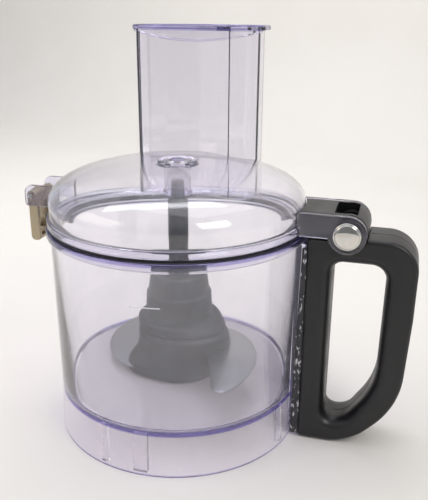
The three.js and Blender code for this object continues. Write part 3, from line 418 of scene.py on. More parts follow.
def clear_polycarbonate(name, tint_density, haze, painted_glow_zones=(), floor_haze=0.0, scuffed=0.0):
    """Injection-moulded polycarbonate, toned faintly violet so that it doesn't look yellow. A flat
    wall is nearly colourless. Rims and corners pipe light a long way through the plastic and glow
    violet, and that glow is painted into the base colour in the given rings about the axis. Use
    and the dishwasher leave it veiled, with fine scratches."""
    material, tree, shader, place = begin(
        name, "#FBFAFD", IOR=1.585, Roughness=0.02, Transmission_Weight=1.0
    )
    cloud = patches(tree, place, 38, 4.0, 0.35, 0.7, 0.5, 1.4)
    veil = node(tree, "Math", [cloud, haze], operation="MULTIPLY")
    fine = scratches(tree, place, 0.9, (0.5, 0.25, 0), 0.3)
    level = scratches(tree, place, 1.1, (1.5, 0.1, 0.3), 0.26)
    marks = node(tree, "Math", [fine, level], operation="MAXIMUM")
    marks = node(tree, "Math", [marks, 0.05 + scuffed], operation="MULTIPLY")
    veil = node(tree, "Math", [veil, marks], operation="ADD")
    if floor_haze:
        floor = (FLOOR_UNDERSIDE - 0.5, FLOOR_TOP + 1.5)
        frosted = zone(tree, place, (0, WAIST_INSIDE - 4), floor)
        frosted = node(tree, "Math", [frosted, floor_haze], operation="MULTIPLY")
        veil = node(tree, "Math", [veil, frosted], operation="ADD")
    veiled = node(tree, "MapRange", [veil, 0.05, 0.3, 0, 1])
    tone = node(tree, "Mix", {0: veiled, 6: "#FBFAFD", 7: "#D5D2D4"}, 2, data_type="RGBA")
    # Painted violet glow: the base colour is mixed towards violet in rings about the axis, in place of
    # light piped along rims and corners.
    violet = 0.0
    for radius, limits, strength in painted_glow_zones:
        here = zone(tree, place, radius, limits)
        here = node(tree, "Math", [here, strength], operation="MULTIPLY")
        violet = node(tree, "Math", [here, violet], operation="MAXIMUM")
    if painted_glow_zones:
        tone = node(tree, "Mix", {0: violet, 6: tone, 7: "#8076CC"}, 2, data_type="RGBA")
    sockets = {
        "Base Color": tone,
        "Transmission Weight": node(tree, "Math", [1.0, veil], operation="SUBTRACT"),
        "Roughness": patches(tree, place, 11, 3.0, 0.4, 0.75, 0.015, 0.07),
    }
    feed(tree, shader, sockets)
    shadow = node(tree, "LightPath", out="Is Shadow Ray")
    through = node(tree, "BsdfTransparent", ["#F4F3F8"])
    lit = node(tree, "MixShader", [shadow, shader.outputs[0], through])
    tint = node(tree, "VolumeAbsorption", {"Color": "#7466D2", "Density": tint_density})
    feed(tree, tree.nodes["Material Output"], {"Surface": lit, "Volume": tint})
    return material


def satin_black_nylon():
    """Glass-filled nylon moulded against a spark-textured tool: near black, satin, with a fine
    grain that breaks up its highlights, and a little pale dust in it. The grain is drawn twice
    as coarse as it is, to show."""
    material, tree, shader, place = begin(
        "satin_black_glass_filled_nylon", "#1F1F21", IOR=1.53, Roughness=0.5
    )
    dust = patches(tree, place, 30, 5.0, 0.5, 0.85, 0, 0.35)
    sockets = {
        "Base Color": node(tree, "Mix", {0: dust, 6: "#121214", 7: "#2A2A2B"}, 2, data_type="RGBA"),
        "Roughness": patches(tree, place, 18, 3.0, 0.3, 0.7, 0.34, 0.46),
        "Normal": relief(tree, place, 0.8, 0.06, 0.5),
    }
    feed(tree, shader, sockets)
    return material


def scuffed_black_nylon():
    """The same nylon where hands and racks rub it: black, worn grey in patches, with short white
    scuffs that run up it."""
    material, tree, shader, place = begin("scuffed_black_nylon", "#232326", IOR=1.53, Roughness=0.5)
    rubbed = patches(tree, place, 9, 4.0, 0.35, 0.7, 0, 0.5)
    grey = node(tree, "Mix", {0: rubbed, 6: "#232326", 7: "#4E4E54"}, 2, data_type="RGBA")
    long = node(tree, "Mapping", {"Vector": place, "Scale": (1, 1, 0.35)})
    scuffs = patches(tree, long, 1.6, 3.0, 0.6, 0.66, 0, 0.85)
    tone = node(tree, "Mix", {0: scuffs, 6: grey, 7: "#D9D9DC"}, 2, data_type="RGBA")
    feed(tree, shader, {"Base Color": tone})
    return material


def silicone_rubber():
    """Moulded black silicone: dull, a little lighter where it has been rubbed."""
    material, tree, shader, place = begin("moulded_black_silicone", "#0E0E10", IOR=1.43, Roughness=0.5)
    worn = patches(tree, place, 6, 3.0, 0.5, 0.8, 0, 0.5)
    tone = node(tree, "Mix", {0: worn, 6: "#0C0C0E", 7: "#242428"}, 2, data_type="RGBA")
    feed(tree, shader, {"Base Color": tone, "Normal": relief(tree, place, 0.7, 0.02, 0.4)})
    return material


def charcoal_polypropylene(name, base, residue):
    """Glass-filled polypropylene, charcoal with a blue cast, satin, greyed in patches by residue
    and marked by pale specks and nicks."""
    material, tree, shader, place = begin(name, base, IOR=1.49, Roughness=0.5)
    cloud = patches(tree, place, 22, 5.0, 0.42, 0.75, 0, residue)
    greyed = node(tree, "Mix", {0: cloud, 6: base, 7: "#5C6268"}, 2, data_type="RGBA")
    specks = patches(tree, place, 1.5, 2.0, 0.66, 0.72, 0, 0.4)
    sockets = {
        "Base Color": node(tree, "Mix", {0: specks, 6: greyed, 7: "#B9BDC0"}, 2, data_type="RGBA"),
        "Roughness": patches(tree, place, 9, 3.0, 0.3, 0.7, 0.4, 0.6),
        "Normal": relief(tree, place, 1.2, 0.015, 0.3),
    }
    feed(tree, shader, sockets)
    return material


def brushed(name, base, dark, rough, along):
    """A metal with a brushed or ground finish: hairlines along one axis that vary its roughness
    and a little its brightness."""
    material, tree, shader, place = begin(name, base, Metallic=1.0, Roughness=rough)
    stretch = [0.03 if axis == along else 1.0 for axis in "XYZ"]
    long = node(tree, "Mapping", {"Vector": place, "Scale": stretch})
    lines = node(tree, "TexNoise", blobs(long, 0.5))
    sockets = {
        "Base Color": node(tree, "Mix", {0: lines, 6: dark, 7: base}, 2, data_type="RGBA"),
        "Roughness": node(tree, "MapRange", [lines, 0.3, 0.7, rough - 0.06, rough + 0.08]),
        "Normal": node(tree, "Bump", {"Height": lines, "Distance": 0.01 * MM, "Strength": 0.3}),
    }
    feed(tree, shader, sockets)
    return material


def bright_chrome():
    """Chrome plate over a domed stamping: mirror bright, with the faint waviness of a pressing
    and a few dull marks."""
    material, tree, shader, place = begin("bright_chrome_plate", "#DEDBD6", Metallic=1.0, Roughness=0.05)
    cloud = node(tree, "TexNoise", blobs(place, 3))
    sockets = {
        "Base Color": node(tree, "Mix", {0: cloud, 6: "#CFCBC4", 7: "#E6E4E0"}, 2, data_type="RGBA"),
        "Roughness": patches(tree, place, 4, 4.0, 0.62, 0.75, 0.04, 0.22),
        "Normal": relief(tree, place, 5, 0.05, 0.3, 1.0),
    }
    feed(tree, shader, sockets)
    return material


def clouded(name, base, first, second, size_mm, detail=2.0, **settings):
    """A matt surface whose tone drifts between two colours over about size_mm."""
    material, tree, shader, place = begin(name, base, **settings)
    cloud = node(tree, "TexNoise", blobs(place, size_mm, detail))
    tone = node(tree, "Mix", {0: cloud, 6: first, 7: second}, 2, data_type="RGBA")
    feed(tree, shader, {"Base Color": tone})
    return material


BOWL_CLEAR = clear_polycarbonate(
    "clear_polycarbonate_bowl",
    7,
    haze=0.045,
    painted_glow_zones=(
        # painted violet glow: the floor's rim, the bead's crest, the bead, the foot's ring, the handle's
        # plate
        ((WAIST_INSIDE - 1.5, WAIST_INSIDE + 9), (FLOOR_UNDERSIDE - 0.6, FLOOR_TOP + 0.6), 1.0),
        ((WAIST_INSIDE + 5.0, WAIST_INSIDE + 9), (BOWL_TOP - 2.4, BOWL_TOP), 0.95),
        ((WAIST_INSIDE + 5.0, WAIST_INSIDE + 9), (BEAD_FOOT, BOWL_TOP), 0.35),
        ((WAIST_INSIDE - 4, WAIST_INSIDE + 9), (0, 0.8), 0.7),
        ((WAIST_INSIDE + 4.5, WAIST_INSIDE + 14), (4, 161), 0.25),
    ),
    floor_haze=0.4,
    scuffed=0.04,
)
LID_CLEAR = clear_polycarbonate(
    "clear_polycarbonate_lid",
    9,
    haze=0.02,
    painted_glow_zones=(
        # painted violet glow: the flange's edge, the hinge arms and latch ears, and the boss's foot
        ((LID_HIGH[1] - 0.7, LID_HIGH[1] + 0.5), (GASKET_HIGH[2], GASKET_HIGH[2] + 7), 0.3),
        ((LID_HIGH[1] + 2, 160), (GASKET_HIGH[2], 200), 0.22),
        ((0, 16), (LID_HIGH[2] - 27, LID_HIGH[2] - 22), 0.25),
    ),
)
TUBE_CLEAR = clear_polycarbonate(
    "clear_polycarbonate_tube",
    14,
    haze=0.02,
    # painted violet glow along the top of the flange
    painted_glow_zones=((ANY_RADIUS, (TUBE_HIGH[2] - 3.8, TUBE_HIGH[2]), 0.45),),
)
# A far denser violet tint for the apron's bead: painted violet glow in place of light piped down the
# apron.
PAINTED_GLOW_EDGE = clear_polycarbonate("painted_glow_polycarbonate_edge", 220, haze=0.02)
BLACK = satin_black_nylon()
SCUFFED = scuffed_black_nylon()
RUBBER = silicone_rubber()
CHARCOAL = charcoal_polypropylene("charcoal_polypropylene_hub", "#24282D", 0.35)
STEM_DARK = charcoal_polypropylene("charcoal_polypropylene_stem", "#141518", 0.15)
BLADE_STEEL = brushed("ground_stainless_blade", "#A6A8AB", "#8D8F93", 0.34, "X")
PLAIN_STEEL = brushed("drawn_stainless", "#BDBEC0", "#8F9194", 0.3, "Y")
SPRING_STEEL = brushed("spring_wire", "#B4B5B8", "#85878A", 0.32, "Z")
NICKEL = brushed("satin_nickel_plate", "#C9BCA4", "#9C907A", 0.3, "Z")
CHROME = bright_chrome()
# Unpigmented nylon, turned smooth: milky off-white.
NYLON = clouded("natural_nylon", "#D8D3C6", "#CFC9BB", "#DDD9CF", 5, IOR=1.53, Roughness=0.45)
# Pad-printed white ink, thin and worn through in places.
INK = clouded("white_pad_print_ink", "#F4F4F4", "#DCDCE0", "#FAFAFA", 1.2, IOR=1.5, Roughness=0.6)
# Painted board behind and below the object, matt so that it stays plain.
PALE_BOARD = clouded("matt_pale_board", "#F3EFE9", "#F3EFE9", "#ECE8E1", 160, 3.0, Roughness=0.75)


# ---- work bowl ----

COLUMN_FOOT_RADIUS = 17.5
COLUMN_TOP_RADIUS = 14.6
COLUMN_WALL = 2.6
COLUMN_TOP = INSERT_LOW[2] - 1
PLATE_FACE = HANDLE_LOW[0] - AXIS_X - 0.3
PLATE_HALF = 16
CATCH_REACH = AXIS_X - BOWL_LOW[0]
CATCH_FOOT = BEAD_FOOT - 4


def skirt_rib(start, end):
    """A rib inside the skirt, from one angle to another, as an outline raised."""
    angles = np.radians(np.linspace(start, end, 9))[:, None]
    outer, inner = WAIST_RADIUS - BOWL_WALL + 1.2, WAIST_RADIUS - BOWL_WALL - 3.4
    around = np.hstack([np.cos(angles), np.sin(angles)])
    outline = np.vstack([around * outer, around[::-1] * inner])
    return slab("rib", outline, [(0, 2), (0, FLOOR_UNDERSIDE + 1)])


def work_bowl():
    """A closed profile turned about the axis: up the outside from foot to bead, down the inside
    to the floor, over the centre column and back under the floor. Blocks for the handle's plate,
    its tongue and the latch's catch are joined to it, and ribs inside the skirt."""
    profile = rounded(
        [
            (FOOT_RADIUS, 0, 0.8),
            (WAIST_RADIUS, FLOOR_UNDERSIDE, 60),
            (MOUTH_RADIUS, BEAD_FOOT - 1.5, 1.5),
            (BEAD_RADIUS, BEAD_FOOT, 1.3),
            (BEAD_RADIUS, BOWL_TOP, 1.1),
            (MOUTH_RADIUS - BOWL_WALL, BOWL_TOP, 0.9),
            (WAIST_RADIUS - BOWL_WALL, FLOOR_TOP, 2.5),
            (COLUMN_FOOT_RADIUS, FLOOR_TOP, 2.4),
            (COLUMN_TOP_RADIUS, COLUMN_TOP, 1.2),
            (COLUMN_TOP_RADIUS - COLUMN_WALL, COLUMN_TOP, 0.6),
            (COLUMN_FOOT_RADIUS - COLUMN_WALL, FLOOR_UNDERSIDE, 1.5),
            (WAIST_RADIUS - BOWL_WALL, FLOOR_UNDERSIDE, 0.9),
            (FOOT_RADIUS - BOWL_WALL, 0, 0.8),
        ]
    )
    bowl = turned("work_bowl_clear", profile)
    plate_low, plate_high = (WAIST_RADIUS - 1.6, -PLATE_HALF, 6), (PLATE_FACE, PLATE_HALF, BEAD_FOOT + 0.4)
    plate = box("plate", plate_low, plate_high, 1.2)
    tongue = box("tongue", (PLATE_FACE - 1, -2.2, 10), (PLATE_FACE + 3.8, 2.2, BEAD_FOOT - 10), 0.3)
    catch = box("catch", (-CATCH_REACH, -10, CATCH_FOOT), (1 - MOUTH_RADIUS, 10, BEAD_FOOT + 1), 1)
    ribs = []
    for quarter_turn in range(0, 360, 90):
        ribs.append(skirt_rib(quarter_turn - 109, quarter_turn - 106.6))
        ribs.append(skirt_rib(quarter_turn - 92.6, quarter_turn - 86.2))
    combine(bowl, "UNION", plate, tongue, catch, *ribs)
    return finish_piece(bowl, BOWL_CLEAR, "bowl", "clear_plastic", "work_bowl")


def fill_mark():
    """The line that marks the most the bowl takes: a thin strip that stands out from the wall,
    a rectangle carried along a short arc of the front."""
    level, half_height, thick = 135.0, 0.3, 0.25
    angles = np.radians(np.linspace(-91.2, -78.8, 40))
    wall = WAIST_RADIUS + (level - FLOOR_UNDERSIDE) / (BEAD_FOOT - 1.5 - FLOOR_UNDERSIDE) * WALL_LEAN
    rings = []
    for r, z in (
        (wall - 0.1, level - half_height),
        (wall + thick, level - half_height),
        (wall + thick, level + half_height),
        (wall - 0.1, level + half_height),
    ):
        height = np.full(len(angles), z)
        rings.append(np.column_stack([r * np.cos(angles), r * np.sin(angles), height]))
    strip = grid("fill_mark", np.array(rings).transpose(1, 0, 2), wrap_rows=False, caps=True)
    return finish_piece(strip, INK, "bowl", None)


# ---- lid ----

LID_UNDER = GASKET_HIGH[2] + 0.3
DOME_FOOT = LID_UNDER + 16
DOME_RISE = 27
DOME_POWER = 3.1
LID_TOP = DOME_FOOT + DOME_RISE
BOSS_TOP = LID_HIGH[2]
BOSS_FOOT = BOSS_TOP - 25
BOSS_BORE = 8.6
RIM_RADIUS = LID_HIGH[1]
SIDE_RADIUS = RIM_RADIUS - 1.9
LID_WALL = 2.7
PLUG_RADIUS = MOUTH_RADIUS - BOWL_WALL - 2
PLUG_WALL = 2.2
HALF_HANDLE = BLOCK_HIGH[1]
CHEEK_INSIDE = HALF_HANDLE + 0.3
CHEEK_OUTSIDE = PIN_HIGH[1]
CHEEK_RADIUS = 14
HINGE_BORE = 4.3
LATCH_BORE = 1.9
EAR_OUTSIDE = LATCH_PIN_HIGH[1]
EAR_INSIDE = EAR_OUTSIDE - 3


def dome(radius, end, wall=0.0, steps=44):
    """The lid's dome as (radius, height) points from its rim to the radius end. Its height above
    its foot is rise * sqrt(1 - share ** power), share being r over the rim's radius, walked in
    equal turns of an angle so that the shoulder stays smooth. The inside of a wall lies below
    that by wall * (1.25 - 0.6 * share ** 3)."""
    turn = np.linspace(math.pi / 2, math.asin((end / radius) ** (DOME_POWER / 2)), steps)
    share = np.sin(turn) ** (2 / DOME_POWER)
    drop = wall * (1.25 - share**3 * 0.6)
    return np.column_stack([radius * share, DOME_FOOT + DOME_RISE * np.cos(turn) - drop])


def lid_arm(side):
    """A hinge arm: a disc about the pin, its foot cut off level with the flange, drawn in to the
    lid's side. It has a round groove in its face and the pin's hole."""
    low, high = sorted((side * CHEEK_INSIDE, side * CHEEK_OUTSIDE))
    dip = math.sqrt(CHEEK_RADIUS**2 - (PIVOT_Z - LID_UNDER) ** 2)
    start = math.atan2(LID_UNDER - PIVOT_Z, -dip) % TURN
    turn = np.linspace(start, TURN + math.pi / 2, 60)
    disc = PIVOT + CHEEK_RADIUS * np.column_stack([np.cos(turn), np.sin(turn)])
    inside = SIDE_RADIUS - LID_WALL - 1.2
    outline = np.vstack([[[inside, LID_UNDER]], disc, [[inside, PIVOT_Z + CHEEK_RADIUS]]])
    arm = slab("arm", outline, edged(low, high, 0.9), across="Y")
    face = side * CHEEK_OUTSIDE
    inner, outer, deep, clear = 10.6, 11.8, face - 0.7, face + 0.7
    ring = rounded([(inner, deep, 0.2), (outer, deep, 0.2), (outer, clear, 0), (inner, clear, 0)], 2)
    groove = turned("groove", ring, 64, PIVOT, "Y")
    hole = pin_hole(HINGE_BORE, low - 1, high + 1, PIVOT)
    return combine(arm, "DIFFERENCE", groove, hole)


def latch_ear(side):
    """A latch ear: a plate whose outer top corner is rounded most, with the pin's hole."""
    low, high = sorted((side * EAR_INSIDE, side * EAR_OUTSIDE))
    outside, inside = LATCH_X - 4.7, 3.6 - SIDE_RADIUS
    foot, top = LATCH_Z - 8, LATCH_Z + 9.5
    outline = rounded([(outside, foot, 3), (inside, foot, 0), (inside, top, 0), (outside, top, 7)], 8)
    ear = slab("ear", outline, edged(low, high, 0.8), across="Y")
    return combine(ear, "DIFFERENCE", pin_hole(LATCH_BORE, low - 1, high + 1, LATCH, 32))


TUBE_FLANGE = 4.3
TUBE_HALF_WIDTH = (TUBE_HIGH[0] - TUBE_LOW[0]) / 2 - TUBE_FLANGE
TUBE_BACK = TUBE_HIGH[1] - TUBE_FLANGE
TUBE_FRONT = TUBE_BACK - 48
TUBE_WALL = 2.6
TUBE_FOOT = TUBE_LOW[2]
TUBE_TOP = TUBE_HIGH[2]
FLANGE_UNDERSIDE = TUBE_TOP - 3.5


def back_arc(radius, half_width, rounding):
    """Corners along the arc of the tube's back wall, from right to left."""
    end = math.asin(half_width / radius)
    angles = np.linspace(end, -end, 13)
    return [
        (radius * math.sin(a), radius * math.cos(a), rounding if abs(a) > end - 1e-6 else 0)
        for a in angles
    ]


def tube_outline(grow=0.0):
    """The feed tube's plan: its front wall stands back in the middle to clear the lid's boss."""
    wide, front = TUBE_HALF_WIDTH, TUBE_FRONT
    corners = [
        (-wide, front + 5, 3),
        (-wide * 0.84, front + 11, 4),
        (-wide * 0.56, front + 15, 6),
        (1, front + 16, 8),
        (wide * 0.33, front + 9, 6),
        (wide * 0.57, front, 3),
        (wide * 0.86, front - 1, 5),
        (wide, front + 12, 4),
        *back_arc(TUBE_BACK, wide, 6),
    ]
    outline = even(rounded(corners, 6), 420)
    return outline + outward(outline) * grow


def flange_outline():
    """The flange's plan: the tube's, grown by the flange, with its front bowed out."""
    wide, front = TUBE_HALF_WIDTH + TUBE_FLANGE, TUBE_FRONT - 2
    corners = [
        (-wide, front + 12, 6),
        (-wide * 0.55, front + 1, 20),
        (wide * 0.6, front - 1, 20),
        (wide, front + 10, 6),
        *back_arc(TUBE_BACK + TUBE_FLANGE, wide, 7),
    ]
    return even(rounded(corners, 8), 420)


def lid_cover():
    """One closed profile turned about the axis: the plug that sits in the bowl's mouth, the
    flange, the dome's outside, the hollow boss and the dome's inside. The arms and ears are
    joined to it and the feed tube's plan is cut through it."""
    outside = dome(SIDE_RADIUS, 16.5)
    inside = dome(SIDE_RADIUS - LID_WALL, 13, LID_WALL)
    boss_outer = BOSS_BORE + 1.6
    middle = [
        (15.2, LID_TOP - 0.1, 0.5),
        (15, BOSS_TOP, 0.9),
        (6.1, BOSS_TOP, 0.7),
        (6.1, LID_TOP - 3.3, 0.3),
        (BOSS_BORE, LID_TOP - 4.6, 0.6),
        (BOSS_BORE, BOSS_FOOT, 0.3),
        (boss_outer + 1, BOSS_FOOT, 0.6),
        (boss_outer + 1, BOSS_FOOT + 2.4, 0.5),
        (boss_outer, BOSS_FOOT + 3.4, 0.5),
        (boss_outer, LID_TOP - 4.2, 1.6),
    ]
    rim = [
        (SIDE_RADIUS - LID_WALL, LID_UNDER + 5.5, 2),
        (PLUG_RADIUS - PLUG_WALL, LID_UNDER + 2.8, 1),
        (PLUG_RADIUS - PLUG_WALL, LID_UNDER - 4.5, 0.5),
        (PLUG_RADIUS, LID_UNDER - 4.5, 0.5),
        (PLUG_RADIUS, LID_UNDER, 0.4),
        (RIM_RADIUS, LID_UNDER, 0.9),
        (RIM_RADIUS, LID_UNDER + 5.5, 0.9),
        (SIDE_RADIUS, LID_UNDER + 5.9, 0.6),
    ]
    corners = rim + [(r, z, 0) for r, z in outside] + middle + [(r, z, 0) for r, z in inside[::-1]]
    lid = turned("lid_clear", rounded(corners, 5), 224)
    arms = [lid_arm(side) for side in (-1, 1)]
    ears = [latch_ear(side) for side in (-1, 1)]
    combine(lid, "UNION", *arms, *ears)
    throat = slab("throat", tube_outline(0.3), [(0, LID_UNDER + 4), (0, TUBE_TOP)])
    combine(lid, "DIFFERENCE", throat)
    return finish_piece(lid, LID_CLEAR, "lid", "clear_plastic", "lid_cover")


def lid_gasket():
    """An L-shaped profile turned about the axis: a skirt round the lid's plug and a flat ring
    between the bead and the lid's flange."""
    inner, outer = PLUG_RADIUS + 0.3, GASKET_HIGH[1]
    profile = rounded(
        [
            (inner + 1.1, GASKET_LOW[2], 0.4),
            (inner + 1.2, BOWL_TOP + 0.3, 0.6),
            (outer, BOWL_TOP + 0.3, 0.9),
            (outer, GASKET_HIGH[2], 0.9),
            (inner, GASKET_HIGH[2], 0.2),
            (inner, GASKET_LOW[2], 0.4),
        ],
        4,
    )
    return finish_piece(turned("lid_gasket_ring", profile), RUBBER, "lid", "gasket_rubber", "lid_gasket")


# ---- feed tube ----


def feed_tube():
    """The tube's wall, a flange with two fine ridges on it, and an apron that hangs from the
    flange's front edge, deepest in the middle, with its bead."""
    outline = tube_outline()
    chamfer, top = TUBE_FOOT + 0.6, TUBE_TOP - 3
    wall = [(0, chamfer), (0, top), (TUBE_WALL, top), (TUBE_WALL, chamfer)]
    wall += [(TUBE_WALL - 0.5, TUBE_FOOT), (0.5, TUBE_FOOT)]
    tube = ring_wall("feed_tube_clear", outline, wall)
    brim = flange_outline()
    plate = slab("plate", brim, edged(FLANGE_UNDERSIDE, TUBE_TOP - 0.7, 0.6))
    ridges = []
    for inset, width, rise in ((0.5, 1.1, 0.7), (2.6, 0.8, 0.6)):
        low, high = TUBE_TOP - 1.4, TUBE_TOP - 0.7 + rise
        section = [(inset, low), (inset, high - 0.2), (inset + 0.2, high), (inset + width - 0.2, high)]
        section += [(inset + width, high - 0.2), (inset + width, low)]
        ridges.append(ring_wall("ridge", brim, section))
    bore = slab("bore", tube_outline(-TUBE_WALL), [(0, TUBE_FOOT - 2), (0, TUBE_TOP + 2)])
    combine(tube, "UNION", plate, *ridges)
    combine(tube, "DIFFERENCE", bore)
    apron = flange_apron(brim)
    combine(tube, "UNION", apron)
    apron_bead(brim)
    return finish_piece(tube, TUBE_CLEAR, "lid", "clear_plastic", "feed_tube")


def apron_line(brim):
    """The brim's front stretch from left to right, its outward normals, and the level of the
    apron's lower edge, which hangs 7 * (1 - (x / half width) ** 2) below the flange."""
    half = TUBE_HALF_WIDTH + TUBE_FLANGE - 1
    front = (brim[:, 1] < TUBE_FRONT + 20) & (np.abs(brim[:, 0]) < half)
    line, normal = brim[front], outward(brim)[front]
    order = np.argsort(line[:, 0])
    line, normal = line[order], normal[order]
    drop = 7.0 * (1 - (line[:, 0] / half) ** 2) + 0.2
    return line, normal, FLANGE_UNDERSIDE - drop


def apron_bead(brim):
    """The apron's lower edge as a bead of its own: a ring of 10 points carried along the edge.
    Light that has run down the apron comes out here, so it looks deep violet. That glow is painted
    by a far denser violet tint than the rest of the plastic has."""
    line, normal, low = apron_line(brim)
    rings = []
    for turn in np.arange(10) * TURN / 10:
        out, rise = 0.55 * math.cos(turn) - 1.3, 0.5 * math.sin(turn) - 0.55
        rings.append(np.column_stack([line + normal * out, low + rise]))
    bead = grid("apron_bead", np.array(rings).transpose(1, 0, 2), wrap_rows=False, caps=True)
    return finish_piece(bead, PAINTED_GLOW_EDGE, "lid", None)


def flange_apron(brim):
    """The front stretch of the brim, carried down to the apron's lower edge."""
    line, normal, low = apron_line(brim)
    high = TUBE_TOP - 3.0
    sides = [(0.4, None), (0.4, 0.4), (0.9, 0.0), (1.7, 0.0), (2.2, 0.4), (2.2, None)]
    rings = []
    for inset, rise in sides:
        level = np.full(len(line), high) if rise is None else low + rise
        rings.append(np.column_stack([line - normal * inset, level]))
    return grid("apron", np.array(rings).transpose(1, 0, 2), wrap_rows=False, caps=True)


# ---- handle ----

HANDLE_FACE = PLATE_FACE + 0.3
HANDLE_FOOT = HANDLE_LOW[2]
HANDLE_OUTSIDE = HANDLE_HIGH[0] - AXIS_X
HANDLE_TOP = PIVOT_Z - 3.5
STEP_TOP = BOWL_TOP - 0.3
BARREL_RADIUS = 14.3
CRADLE_RADIUS = BARREL_RADIUS + 0.6
LUG_RADIUS = 9.5
POCKET_HALF = HALF_HANDLE - 3.8
ROD_X = (ROD_LOW[0] + ROD_HIGH[0]) / 2 - AXIS_X
ROD_BORE = 3.1
CHAMBER_RADIUS = 5.6
UPRIGHT_FACE = ROD_X + CHAMBER_RADIUS + 3.4
HOLE_TOP = PIVOT_Z - CRADLE_RADIUS - 9.1
SEAM = 0.15


def handle_outline():
    """The handle's outer outline: straight up the bowl, then swept round its foot and outside."""
    corners = [
        (HANDLE_FACE, HANDLE_FOOT, 3.8),
        (HANDLE_FACE + 40, HANDLE_FOOT, 48),
        (HANDLE_OUTSIDE - 4, HANDLE_FOOT + 38, 80),
        (HANDLE_OUTSIDE - 0.5, HANDLE_TOP - 59, 120),
        (HANDLE_OUTSIDE, HANDLE_TOP, 23),
        (HANDLE_FACE, HANDLE_TOP, 3.8),
    ]
    return rounded(corners, 14)


def finger_hole():
    """The finger hole's outline: a straight upright, a level top and a long swept foot."""
    left, right = UPRIGHT_FACE, HANDLE_OUTSIDE - 22
    foot = HANDLE_FOOT + 17.8
    corners = [
        (left, foot, 8),
        (left + 16, foot, 24),
        (right - 1.5, foot + 32, 70),
        (right, HOLE_TOP, 11),
        (left, HOLE_TOP, 8),
    ]
    return rounded(corners, 12)


def polar(outline, centre, angles):
    """Points of a closed outline where rays leave centre at these angles."""
    loop = even(outline, 4000) - centre
    turn = np.unwrap(np.arctan2(loop[:, 1], loop[:, 0]))
    reach = np.linalg.norm(loop, axis=1)
    order = np.argsort(turn % TURN)
    found = np.interp(angles % TURN, (turn % TURN)[order], reach[order], period=TURN)
    return centre + found[:, None] * np.column_stack([np.cos(angles), np.sin(angles)])


def half_handle(name, side):
    """Half of the handle, from the seam out to one side: rings that run up the outer wall, over a
    rounded edge, across the flat face, down the flare into the finger hole and back over the
    seam, each ring being a closed loop at one level."""
    edge, flare, flare_depth = 3.0, 7.6, 11.5
    hole = finger_hole()
    centre = (hole.min(0) + hole.max(0)) / 2
    outer = even(handle_outline(), 440)
    away = outer - centre
    angles = np.arctan2(away[:, 1], away[:, 0])
    inner = polar(hole, centre, angles)
    out_normal, hole_normal = outward(outer), outward(inner)
    rings = []

    def ring(line, normal, shift, depth):
        """Adds the loop, moved out by shift, at depth from the seam."""
        moved = line + normal * shift
        rings.append(np.column_stack([moved[:, 0], np.full(len(line), side * depth), moved[:, 1]]))

    ring(outer, out_normal, -0.35, SEAM)
    ring(outer, out_normal, 0, SEAM + 0.35)
    for inset, drop in quarter(edge, 8):
        ring(outer, out_normal, -inset, HALF_HANDLE - drop)
    ring(outer, out_normal, -edge - 0.5, HALF_HANDLE)
    ring(inner, hole_normal, flare + 0.6, HALF_HANDLE)
    ring(inner, hole_normal, flare + 0.25, HALF_HANDLE)
    for turn in np.linspace(0.12, 1, 10) * math.pi / 2:
        depth = HALF_HANDLE - flare_depth * (1 - math.cos(turn))
        ring(inner, hole_normal, flare * (1 - math.sin(turn)), depth)
    ring(inner, hole_normal, 0, SEAM + 0.35)
    ring(inner, hole_normal, 0.35, SEAM)
    return grid(name, np.array(rings))


def lug(side, near, far):
    """A lug round the hinge pin: a disc and, down to the handle, a four-cornered root whose
    corners are set by their distance and angle from the pin."""
    low, high = sorted((side * near, side * far))
    disc = pin_hole(LUG_RADIUS, low, high, PIVOT, 64)
    reach = np.array([CRADLE_RADIUS + 2.6, CRADLE_RADIUS + 2.6, LUG_RADIUS * 0.85, LUG_RADIUS * 0.7])
    angle = np.radians([-149, -121, -97, -157])
    outline = PIVOT + reach[:, None] * np.column_stack([np.cos(angle), np.sin(angle)])
    root = slab("root", outline, [(0, low), (0, high)], across="Y")
    return combine(disc, "UNION", root)


def handle_shell(name, side, cad_node):
    """One moulded half with its cradle for the hinge barrel, its step under the hinge block, its
    lugs, the rod's bore and, at the rear, the screws' holes."""
    shell = half_handle(name, side)
    low, high = sorted((side * -1, side * (HALF_HANDLE + 1)))
    cradle = pin_hole(CRADLE_RADIUS, low, high, PIVOT, 96)
    step = box("step", (HANDLE_FACE - 20, low, STEP_TOP), (PIVOT_X, high, STEP_TOP + 30), 0.2)
    bore = pillar(ROD_BORE, 0, BOWL_TOP + 9, (ROD_X, 0))
    chamber = pillar(CHAMBER_RADIUS, 21, 54, (ROD_X, 0))
    groove = box("groove", (HANDLE_FACE - 1, -2.5, 9.7), (PLATE_FACE + 4.1, 2.5, BEAD_FOOT - 9.7), 0.1)
    combine(shell, "DIFFERENCE", cradle, step, bore, chamber, groove)
    lugs = [lug(side, 8, 13.5), lug(side, SEAM, 1.5)]
    combine(shell, "UNION", *lugs)
    combine(shell, "DIFFERENCE", pin_hole(HINGE_BORE, low, high, PIVOT))
    merge(shell)
    if side > 0:
        seat, face = HALF_HANDLE - 4.6, HALF_HANDLE + 1
        holes = [pin_hole(3.4, seat, face, at, 40) for at in SCREWS.values()]
        combine(shell, "DIFFERENCE", *holes)
    return finish_piece(shell, BLACK, "bowl", "handle_plastic", cad_node, angle=28)


